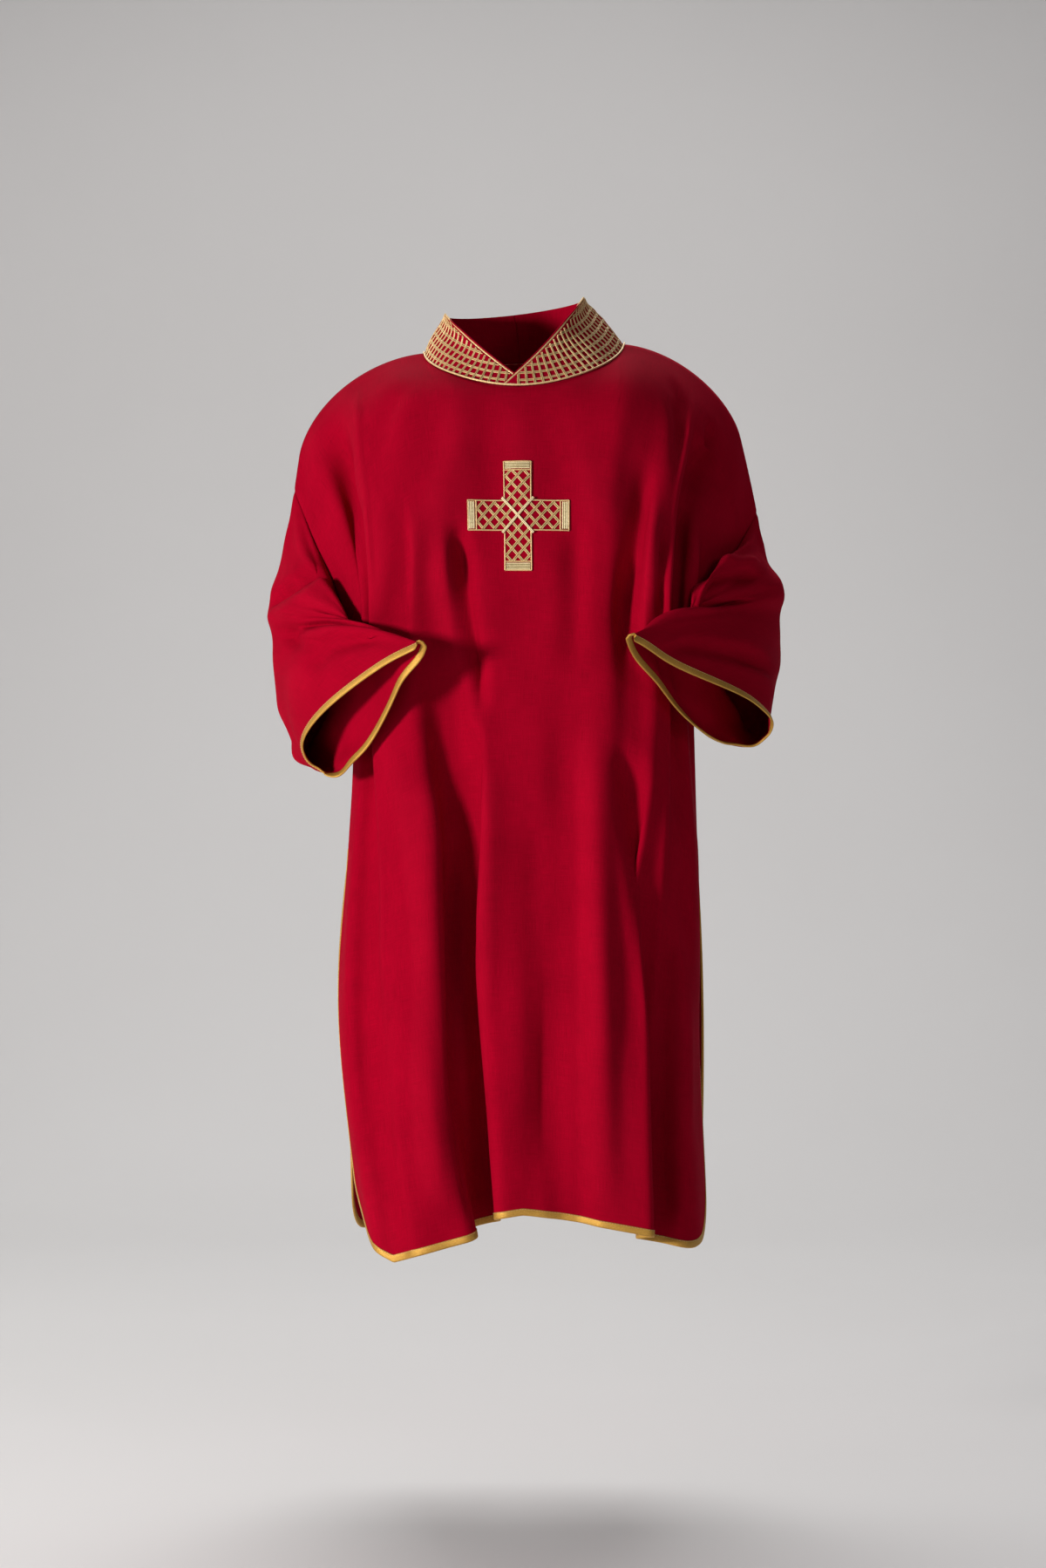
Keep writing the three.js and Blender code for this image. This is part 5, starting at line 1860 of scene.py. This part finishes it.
class Bench:
    """A new material and the nodes laid out for it."""

    def __init__(self, name: str) -> None:
        """Starts a material with its shader.

        Args:
            name: The material's name.
        """
        self.material = bpy.data.materials.new(name)
        self.material.use_nodes = True
        self.tree = self.material.node_tree
        self.shader = self.tree.nodes["Principled BSDF"]

    def feed(self, socket: bpy.types.NodeSocket, value: Any) -> None:
        """Links or sets one input socket.

        Args:
            socket: The input.
            value: A value, a socket or a plain number or colour.
        """
        if isinstance(value, Value):
            value = value.socket
        if isinstance(value, bpy.types.NodeSocket):
            self.tree.links.new(value, socket)
        else:
            socket.default_value = value

    def node(self, kind: str, settings: dict[str, Any] | None = None,
             inputs: dict[Any, Any] | None = None) -> bpy.types.Node:
        """Adds a node.

        Args:
            kind: The node's type.
            settings: Its properties, set first.
            inputs: Values or links by the socket's name or number.

        Returns:
            The node.
        """
        node = self.tree.nodes.new(kind)
        for key, value in (settings or {}).items():
            setattr(node, key, value)
        for key, value in (inputs or {}).items():
            self.feed(node.inputs[key], value)
        return node

    def math(self, operation: str, *values: Any) -> Value:
        """A Math node's result on some values."""
        node = self.node("ShaderNodeMath", {"operation": operation}, dict(enumerate(values)))
        return Value(self, node.outputs[0])

    def noise(self, vector: Any, scale: float, detail: float = 2.0) -> Value:
        """Noise from 0 to 1 at a vector."""
        node = self.node("ShaderNodeTexNoise", None, {"Vector": vector, "Scale": scale, "Detail": detail})
        return Value(self, node.outputs[0])

    def stretch(self, vector: Any, by: tuple[float, float, float]) -> bpy.types.NodeSocket:
        """A vector with its parts multiplied."""
        node = self.node("ShaderNodeVectorMath", {"operation": "MULTIPLY"}, {0: vector, 1: by})
        return node.outputs[0]

    def blend(self, factor: Any, low: Any, high: Any) -> bpy.types.NodeSocket:
        """A colour between two.

        Args:
            factor: The share of the high colour.
            low: The colour at 0.
            high: The colour at 1.

        Returns:
            The colour's socket.
        """
        colours = [(*c, 1.0) if isinstance(c, tuple) and len(c) == 3 else c for c in (low, high)]
        settings = {"data_type": "RGBA", "clamp_factor": True}
        node = self.node("ShaderNodeMix", settings, {0: factor, 6: colours[0], 7: colours[1]})
        return node.outputs[2]

    def parts(self, vector: Any) -> tuple[Value, Value]:
        """The first two parts of a vector."""
        node = self.node("ShaderNodeSeparateXYZ", None, {0: vector})
        return Value(self, node.outputs[0]), Value(self, node.outputs[1])

    def bump(self, height: Value, strength: float, distance: float) -> None:
        """Makes the shader's normal follow a height.

        Args:
            height: The height, from 0 to 1.
            strength: The bump's strength.
            distance: Metres for a height of 1.
        """
        inputs = {"Height": height, "Strength": strength, "Distance": distance}
        self.feed(self.shader.inputs["Normal"], self.node("ShaderNodeBump", None, inputs).outputs[0])

    def constants(self, **values: Any) -> None:
        """Sets plain values on the shader, with _ for each space in a name."""
        for key, value in values.items():
            self.shader.inputs[key.replace("_", " ")].default_value = value

    def attribute(self, name: str) -> bpy.types.Node:
        """A mesh attribute's node."""
        return self.node("ShaderNodeAttribute", {"attribute_name": name})


@dataclass(frozen=True)
class WovenCloth:
    """Plain-woven crimson cloth: fine slubbed yarns, nearly matt, with a soft bloom."""

    name: str
    base: tuple[float, float, float] = (0.4, 0.0004, 0.017)
    deep: tuple[float, float, float] = (0.22, 0.0002, 0.009)
    # Lighter colour mixed in where the cloth's relief stands out: painted highlight on raised ridges and
    # bulges, partly rubbed wear on the crests.
    ridge_highlight_and_wear: tuple[float, float, float] = (0.46, 0.004, 0.024)
    yarn: float = 0.0007
    roughness: float = 0.85
    sheen: float = 0.03
    sheen_tint: tuple[float, float, float] = (1.0, 0.01, 0.14)

    def build(self) -> bpy.types.Material:
        """Makes the material.

        Returns:
            The finished material.
        """
        bench = Bench(self.name)
        cloth = bench.node("ShaderNodeUVMap", {"uv_map": "cloth"}).outputs[0]
        across, down = bench.parts(cloth)
        turn = math.pi / self.yarn
        warp = bench.math("SINE", across * turn)
        weft = bench.math("SINE", down * turn)
        over = warp * weft
        warp_slub = bench.noise(bench.stretch(cloth, (1500.0, 38.0, 1.0)), 1.0)
        weft_slub = bench.noise(bench.stretch(cloth, (38.0, 1500.0, 1.0)), 1.0)
        slub = (warp_slub + weft_slub) * 0.5
        flecks = bench.noise(cloth, 900.0, 3.0)
        mottle = bench.noise(cloth, 14.0, 3.0)
        # Painted highlight, partly rubbed wear: the higher the relief lifts the cloth out, the more of the
        # lighter colour is mixed in, patchily.
        ridge_highlight_and_wear = bench.math("MAXIMUM", Value(bench, bench.attribute("relief").outputs["Fac"]) * 0.22, 0.0)
        ridge_highlight_and_wear = bench.math("MINIMUM", ridge_highlight_and_wear, 0.6) * (mottle * 0.8 + 0.2)
        tone = (slub - 0.5) * 1.9 + (flecks - 0.5) * 0.55 + (mottle - 0.5) * 0.5 + over * 0.1 + 0.5
        colour = bench.blend(tone, self.deep, self.base)
        colour = bench.blend(ridge_highlight_and_wear * 0.35, colour, self.ridge_highlight_and_wear)
        bench.feed(bench.shader.inputs["Base Color"], colour)
        bench.feed(bench.shader.inputs["Roughness"], self.roughness + (slub - 0.5) * 0.16 - ridge_highlight_and_wear * 0.1)
        bench.constants(Sheen_Weight=self.sheen, Sheen_Roughness=0.38, Sheen_Tint=(*self.sheen_tint, 1.0))
        bench.constants(Specular_IOR_Level=0.02)
        bench.bump(over * 0.3 + slub * 1.1 + flecks * 0.25, 0.42, 0.00045)
        return bench.material


@dataclass(frozen=True)
class MetalBraid:
    """Ribbon woven from gilt thread: fine slanting ribs, bright rolled lips and a little tarnish."""

    name: str
    bright: tuple[float, float, float] = (0.64, 0.37, 0.07)
    dull: tuple[float, float, float] = (0.38, 0.18, 0.025)
    rib: float = 0.0011
    roughness: float = 0.5

    def build(self) -> bpy.types.Material:
        """Makes the material.

        Returns:
            The finished material.
        """
        bench = Bench(self.name)
        cloth = bench.node("ShaderNodeUVMap", {"uv_map": "cloth"}).outputs[0]
        along, around = bench.parts(cloth)
        turn = 2.0 * math.pi / self.rib
        ribs = bench.math("SINE", (along + around * 0.7) * turn) * 0.5 + 0.5
        cross = bench.math("SINE", (along - around * 0.9) * turn * 0.5) * 0.5 + 0.5
        glint = bench.noise(bench.stretch(cloth, (420.0, 900.0, 1.0)), 1.0, 2.0)
        tarnish = bench.noise(cloth, 32.0, 3.0)
        tone = ribs * 0.35 + cross * 0.15 + (glint - 0.5) * 1.3 + (tarnish - 0.5) * 0.7 + 0.35
        bench.feed(bench.shader.inputs["Base Color"], bench.blend(tone, self.dull, self.bright))
        bench.feed(bench.shader.inputs["Roughness"], self.roughness + (0.5 - glint) * 0.3 + tarnish * 0.06)
        bench.constants(Metallic=0.6, Specular_IOR_Level=0.4)
        bench.bump(ribs * 0.7 + cross * 0.3 + glint * 0.5, 0.6, 0.00025)
        return bench.material


@dataclass(frozen=True)
class GoldThread:
    """Twisted or satin-stitched gold thread."""

    name: str
    bright: tuple[float, float, float] = (0.95, 0.69, 0.34)
    dull: tuple[float, float, float] = (0.46, 0.27, 0.08)
    metallic: float = 0.25
    roughness: float = 0.42
    fibre: float = 2600.0

    def build(self) -> bpy.types.Material:
        """Makes the material.

        Returns:
            The finished material.
        """
        bench = Bench(self.name)
        place = bench.node("ShaderNodeTexCoord").outputs["Object"]
        fibres = bench.noise(place, self.fibre, 2.0)
        patches = bench.noise(place, 210.0, 2.0)
        tone = (fibres - 0.5) * 1.5 + (patches - 0.5) * 0.9 + 0.62
        bench.feed(bench.shader.inputs["Base Color"], bench.blend(tone, self.dull, self.bright))
        bench.feed(bench.shader.inputs["Roughness"], self.roughness + (0.5 - fibres) * 0.25)
        bench.constants(Metallic=self.metallic, Specular_IOR_Level=0.5)
        bench.bump(fibres, 0.5, 0.0002)
        return bench.material


class ThreadTree:
    """Geometry Nodes that lay a twisted thread along every line of a mesh."""

    def __init__(self, material: bpy.types.Material) -> None:
        """Builds the tree.

        Args:
            material: What the thread is made of.
        """
        self.tree = bpy.data.node_groups.new("threads", "GeometryNodeTree")
        face = self.tree.interface
        face.new_socket("Geometry", in_out="INPUT", socket_type="NodeSocketGeometry")
        self.sizes = {}
        for name, value in (("Thread radius", 0.0006), ("Groove", 0.2), ("Lay", 0.006), ("Step", 0.001)):
            socket = face.new_socket(name, in_out="INPUT", socket_type="NodeSocketFloat")
            socket.default_value = value
            self.sizes[name] = socket.identifier
        face.new_socket("Geometry", in_out="OUTPUT", socket_type="NodeSocketGeometry")
        given = self.add("NodeGroupInput")
        line = self.add("GeometryNodeMeshToCurve", {0: given.outputs["Geometry"]})
        sampling = {"Curve": line.outputs[0], "Length": given.outputs["Step"]}
        even = self.add("GeometryNodeResampleCurve", sampling, mode="LENGTH")
        length = self.add("GeometryNodeSplineParameter").outputs["Length"]
        turns = self.math("DIVIDE", length, given.outputs["Lay"])
        tilt = self.math("MULTIPLY", turns, 2.0 * math.pi)
        tilted = self.add("GeometryNodeSetCurveTilt", {"Curve": even.outputs[0], "Tilt": tilt})
        kept = self.math("SUBTRACT", 1.0, given.outputs["Groove"])
        inner = self.math("MULTIPLY", kept, given.outputs["Thread radius"])
        star = self.add("GeometryNodeCurveStar", {
            "Points": 3, "Inner Radius": inner, "Outer Radius": given.outputs["Thread radius"],
        })
        tube = self.add("GeometryNodeCurveToMesh", {
            "Curve": tilted.outputs[0], "Profile Curve": star.outputs[0], "Fill Caps": True,
        })
        smooth = self.add("GeometryNodeSetShadeSmooth", {0: tube.outputs[0]})
        real = self.add("GeometryNodeRealizeInstances", {0: smooth.outputs[0]})
        dressed = self.add("GeometryNodeSetMaterial", {"Geometry": real.outputs[0], "Material": material})
        result = self.add("NodeGroupOutput")
        self.tree.links.new(dressed.outputs[0], result.inputs[0])

    def add(self, kind: str, inputs: dict[Any, Any] | None = None, **settings: Any) -> bpy.types.Node:
        """Adds a node.

        Args:
            kind: The node's type.
            inputs: Values or links by the socket's name or number.
            settings: Its properties.

        Returns:
            The node.
        """
        node = self.tree.nodes.new(kind)
        for key, value in settings.items():
            setattr(node, key, value)
        for key, value in (inputs or {}).items():
            if isinstance(value, bpy.types.NodeSocket):
                self.tree.links.new(value, node.inputs[key])
            else:
                node.inputs[key].default_value = value
        return node

    def math(self, operation: str, first: Any, second: Any) -> bpy.types.NodeSocket:
        """A Math node's result."""
        return self.add("ShaderNodeMath", {0: first, 1: second}, operation=operation).outputs[0]

    def lay(self, name: str, lines: Sequence[Array], **sizes: float) -> bpy.types.Object:
        """Threads along lines, as one plain mesh.

        Args:
            name: The new piece's name.
            lines: Points of each line, in millimetres.
            sizes: The tree's inputs in metres, with _ for each space.

        Returns:
            The piece.
        """
        mesh = bpy.data.meshes.new(f"{name}_lines")
        points = np.concatenate(lines) * MM
        starts = np.cumsum([0, *(len(line) for line in lines)])
        edges = [(i, i + 1) for a, b in zip(starts, starts[1:]) for i in range(a, b - 1)]
        mesh.from_pydata(points.tolist(), edges, [])
        guide = placed(f"{name}_lines", mesh)
        modifier = guide.modifiers.new("threads", "NODES")
        modifier.node_group = self.tree
        for key, value in sizes.items():
            modifier[self.sizes[key.replace("_", " ").capitalize()]] = value
        graph = bpy.context.evaluated_depsgraph_get()
        made = bpy.data.meshes.new_from_object(guide.evaluated_get(graph))
        bpy.data.objects.remove(guide)
        made.name = name
        face_out(made)
        return placed(name, made)


def face_out(mesh: bpy.types.Mesh) -> None:
    """Turns a closed mesh's faces outwards if they point in.

    Args:
        mesh: The mesh.
    """
    mesh.calc_loop_triangles()
    corners = np.empty(len(mesh.loop_triangles) * 3, dtype=np.int32)
    mesh.loop_triangles.foreach_get("vertices", corners)
    points = np.empty(len(mesh.vertices) * 3)
    mesh.vertices.foreach_get("co", points)
    a, b, c = (points.reshape(-1, 3)[corners[i::3]] for i in range(3))
    if np.einsum("ij,ij->", a, np.cross(b, c)) < 0:
        mesh.flip_normals()


@dataclass(frozen=True)
class Lamp:
    """A square soft light that faces the garment, in metres and watts."""

    name: str
    at: tuple[float, float, float]
    size: float
    power: float
    colour: tuple[float, float, float]
    aim: tuple[float, float, float] = (0.0, 0.0, -0.6)

    def build(self) -> None:
        """Adds the light."""
        light = bpy.data.lights.new(self.name, "AREA")
        light.shape = "SQUARE"
        light.size = self.size
        light.energy = self.power
        light.color = self.colour
        holder = placed(self.name, light)
        holder.location = self.at
        x, y, z = np.array(self.aim) - np.array(self.at)
        pitch = math.atan2(z, math.hypot(x, y))
        holder.rotation_euler = (math.pi / 2.0 + pitch, 0.0, math.atan2(-x, y))


LAMPS = (
    Lamp("key", (-2.95, -2.6, -0.3), 0.6, 155.0, (1.0, 0.97, 0.95)),
    Lamp("fill", (2.2, -3.4, 0.6), 1.0, 14.0, (0.92, 0.84, 1.0)),
    Lamp("rim", (-2.2, 1.6, 0.9), 1.2, 8.0, (1.0, 1.0, 1.0)),
    Lamp("wall", (0.0, 2.0, 3.4), 3.0, 150.0, (1.0, 1.0, 1.0)),
)


@dataclass
class Studio:
    """The pale floor, which curves up into a wall, the soft lights and the camera."""

    floor_z: float = -1.507
    floor_start: float = -8.0
    wall: float = 4.6
    wall_height: float = 9.0
    bend: float = 2.2
    bend_steps: int = 24
    half_span: float = 12.0
    camera_at: tuple[float, float, float] = (0.0, -4.2, -0.5694)
    lens: float = 73.7
    surround: float = 0.09
    sky: tuple[float, float, float, float] = (0.95, 0.95, 1.0, 1.0)

    def floor_finish(self) -> bpy.types.Material:
        """A plain pale finish for the floor.

        Returns:
            The material.
        """
        bench = Bench("pale_floor")
        patches = bench.noise(bench.node("ShaderNodeTexCoord").outputs["Object"], 1.2, 3.0)
        pale = bench.blend(patches, (0.7, 0.69, 0.68), (0.74, 0.73, 0.72))
        bench.feed(bench.shader.inputs["Base Color"], pale)
        bench.constants(Roughness=0.75)
        return bench.material

    def floor(self) -> None:
        """Adds the floor and the wall behind it, as one sheet."""
        line = [(self.floor_start, 0.0)]
        for i in range(self.bend_steps + 1):
            angle = i * math.pi / (2 * self.bend_steps)
            back = self.bend * (1 - math.sin(angle))
            line.append((self.wall - back, self.bend * (1 - math.cos(angle))))
        line.append((self.wall, self.wall_height))
        corners = [(x, y, self.floor_z + z) for y, z in line for x in (-self.half_span, self.half_span)]
        mesh = bpy.data.meshes.new("floor")
        mesh.from_pydata(corners, [], [(i, i + 1, i + 3, i + 2) for i in range(0, len(corners) - 2, 2)])
        mesh.shade_smooth()
        floor = placed("floor", mesh)
        mesh.materials.append(self.floor_finish())

    def camera(self) -> None:
        """Adds the camera, level and facing the garment's front."""
        camera = bpy.data.cameras.new("camera")
        camera.lens = self.lens
        camera.sensor_fit = "VERTICAL"
        camera.sensor_height = 36.0
        holder = placed("camera", camera)
        holder.location = self.camera_at
        holder.rotation_euler = (math.pi / 2.0, 0.0, 0.0)
        bpy.context.scene.camera = holder

    def surroundings(self) -> None:
        """Sets the faint even light from all round, and how colours are shown."""
        world = bpy.data.worlds.new("studio")
        world.use_nodes = True
        background = world.node_tree.nodes["Background"]
        background.inputs["Color"].default_value = self.sky
        background.inputs["Strength"].default_value = self.surround
        bpy.context.scene.world = world
        bpy.context.scene.view_settings.view_transform = "Standard"

    def build(self) -> None:
        """Adds the floor, the camera and the lights."""
        self.floor()
        self.camera()
        for lamp in LAMPS:
            lamp.build()
        self.surroundings()


def dress(piece: bpy.types.Object, material: bpy.types.Material, slot: str, *nodes: str) -> bpy.types.Object:
    """Gives a piece its material and body, and hides the frame nodes that it stands for.

    Args:
        piece: The piece.
        material: Its finish.
        slot: Not used.
        nodes: The frame's nodes.

    Returns:
        The piece.
    """
    piece.data.materials.clear()
    piece.data.materials.append(material)
    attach(piece, BODY)
    if nodes:
        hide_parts(*nodes)
    LOG.info("%s: %d faces", piece.name, len(piece.data.polygons))
    return piece


def main() -> None:
    """Builds the garment and its studio."""
    logging.basicConfig(level=logging.INFO, format="%(message)s")
    Studio().build()
    braid = MetalBraid("gold_braid").build()
    thread = GoldThread("gold_thread").build()
    pale = GoldThread("pale_gold_thread", bright=(0.95, 0.83, 0.52), dull=(0.66, 0.5, 0.24),
                      metallic=0.15, roughness=0.45).build()
    # The dull thread also paints the shade in the grooves between the cross's end bar rows.
    dull = GoldThread("dull_gold_thread", bright=(0.34, 0.26, 0.06), dull=(0.13, 0.09, 0.02),
                      metallic=0.3, roughness=0.5).build()
    gold_lines, pale_lines, dull_lines = ThreadTree(thread), ThreadTree(pale), ThreadTree(dull)
    garment = Garment(
        Drape("front", -1.0, 1175.0, 110.0, {Side.LEFT: 1.2, Side.RIGHT: 2.3},
              FRONT_SECTIONS, FRONT_FOLDS, FRONT_CREASES, 3),
        Drape("back", 1.0, 1152.0, 22.0, {Side.LEFT: 2.0, Side.RIGHT: 2.0},
              BACK_SECTIONS, BACK_FOLDS, BACK_CREASES, 4),
    )
    cross = ChestCross(garment).build(gold_lines, pale_lines, dull_lines)
    ground = WovenCloth("cross_ground_cloth", deep=(0.17, 0.0004, 0.006)).build()
    dress(cross["ground"], ground, "cross_gold", "cross")
    for name in ("trellis", "outline"):
        dress(cross[name], thread, "cross_gold")
    for name in ("bars", "bands"):
        dress(cross[name], pale, "cross_gold")
    # The couching piece includes dark thread in the end bars' gaps, painted shade in those grooves.
    dress(cross["couching"], dull, "cross_gold")
    halves = [
        CollarHalf(garment, Side.RIGHT, "left", lap_at=-20.0, under=0.0, corner=(79.5, -38.0, 60.5)),
        CollarHalf(garment, Side.LEFT, "right", lap_at=8.0, under=3.2, corner=(-102.0, -37.5, 39.0)),
    ]
    collar = Collar(halves, garment).build()
    dress(collar["foot"], thread, "cord_gold", "cord_foot")
    for half in halves:
        name = half.name
        cloth = WovenCloth(f"collar_{name}_cloth").build()
        dress(collar[name], cloth, f"collar_{name}", f"collar_{name}")
        dress(collar[f"{name}_piping"], cloth, f"collar_{name}")
        dress(collar[f"{name}_cord"], thread, "cord_gold", f"cord_collar_{name}")
        trellis = gold_lines.lay(f"collar_{name}_trellis", half.lattice(),
                                 thread_radius=0.00068, lay=0.006, groove=0.2, step=0.0014)
        couching = dull_lines.lay(f"collar_{name}_couching", half.lattice(offsets=(0.0,)),
                                  thread_radius=0.0005, lay=0.006, groove=0.2, step=0.0018)
        dress(trellis, thread, "cord_gold")
        dress(couching, dull, "cord_gold")
    flats = {"front": (1.175, 0.947), "back": (1.152, 0.946)}
    for name, (length, area) in flats.items():
        made = BodyPanel(garment, name).build(gold_lines)
        dress(made["cloth"], WovenCloth(f"{name}_crimson").build(), f"cloth_{name}", name)
        dress(made["braid"], braid, "braid_gold", f"braid_{name}")
        dress(made["stitches"], thread, "braid_gold")
        others = [made["braid"], made["stitches"]]
        if name == "front":
            others += [*cross.values(), collar["foot"]]
    for side, name, rings, creases in (
        (Side.LEFT, "sleeve_right", RIGHT_ARM_RINGS, RIGHT_ARM_CREASES),
        (Side.RIGHT, "sleeve_left", LEFT_ARM_RINGS, LEFT_ARM_CREASES),
    ):
        made = Sleeve(garment, side, name, rings, creases).build(gold_lines)
        dress(made["cloth"], WovenCloth(f"{name}_crimson").build(), f"cloth_{name}", name)
        dress(made["braid"], braid, "braid_gold", f"braid_cuff_{name.split('_')[1]}")
        dress(made["stitches"], thread, "braid_gold")


if __name__ == "__main__":
    main()
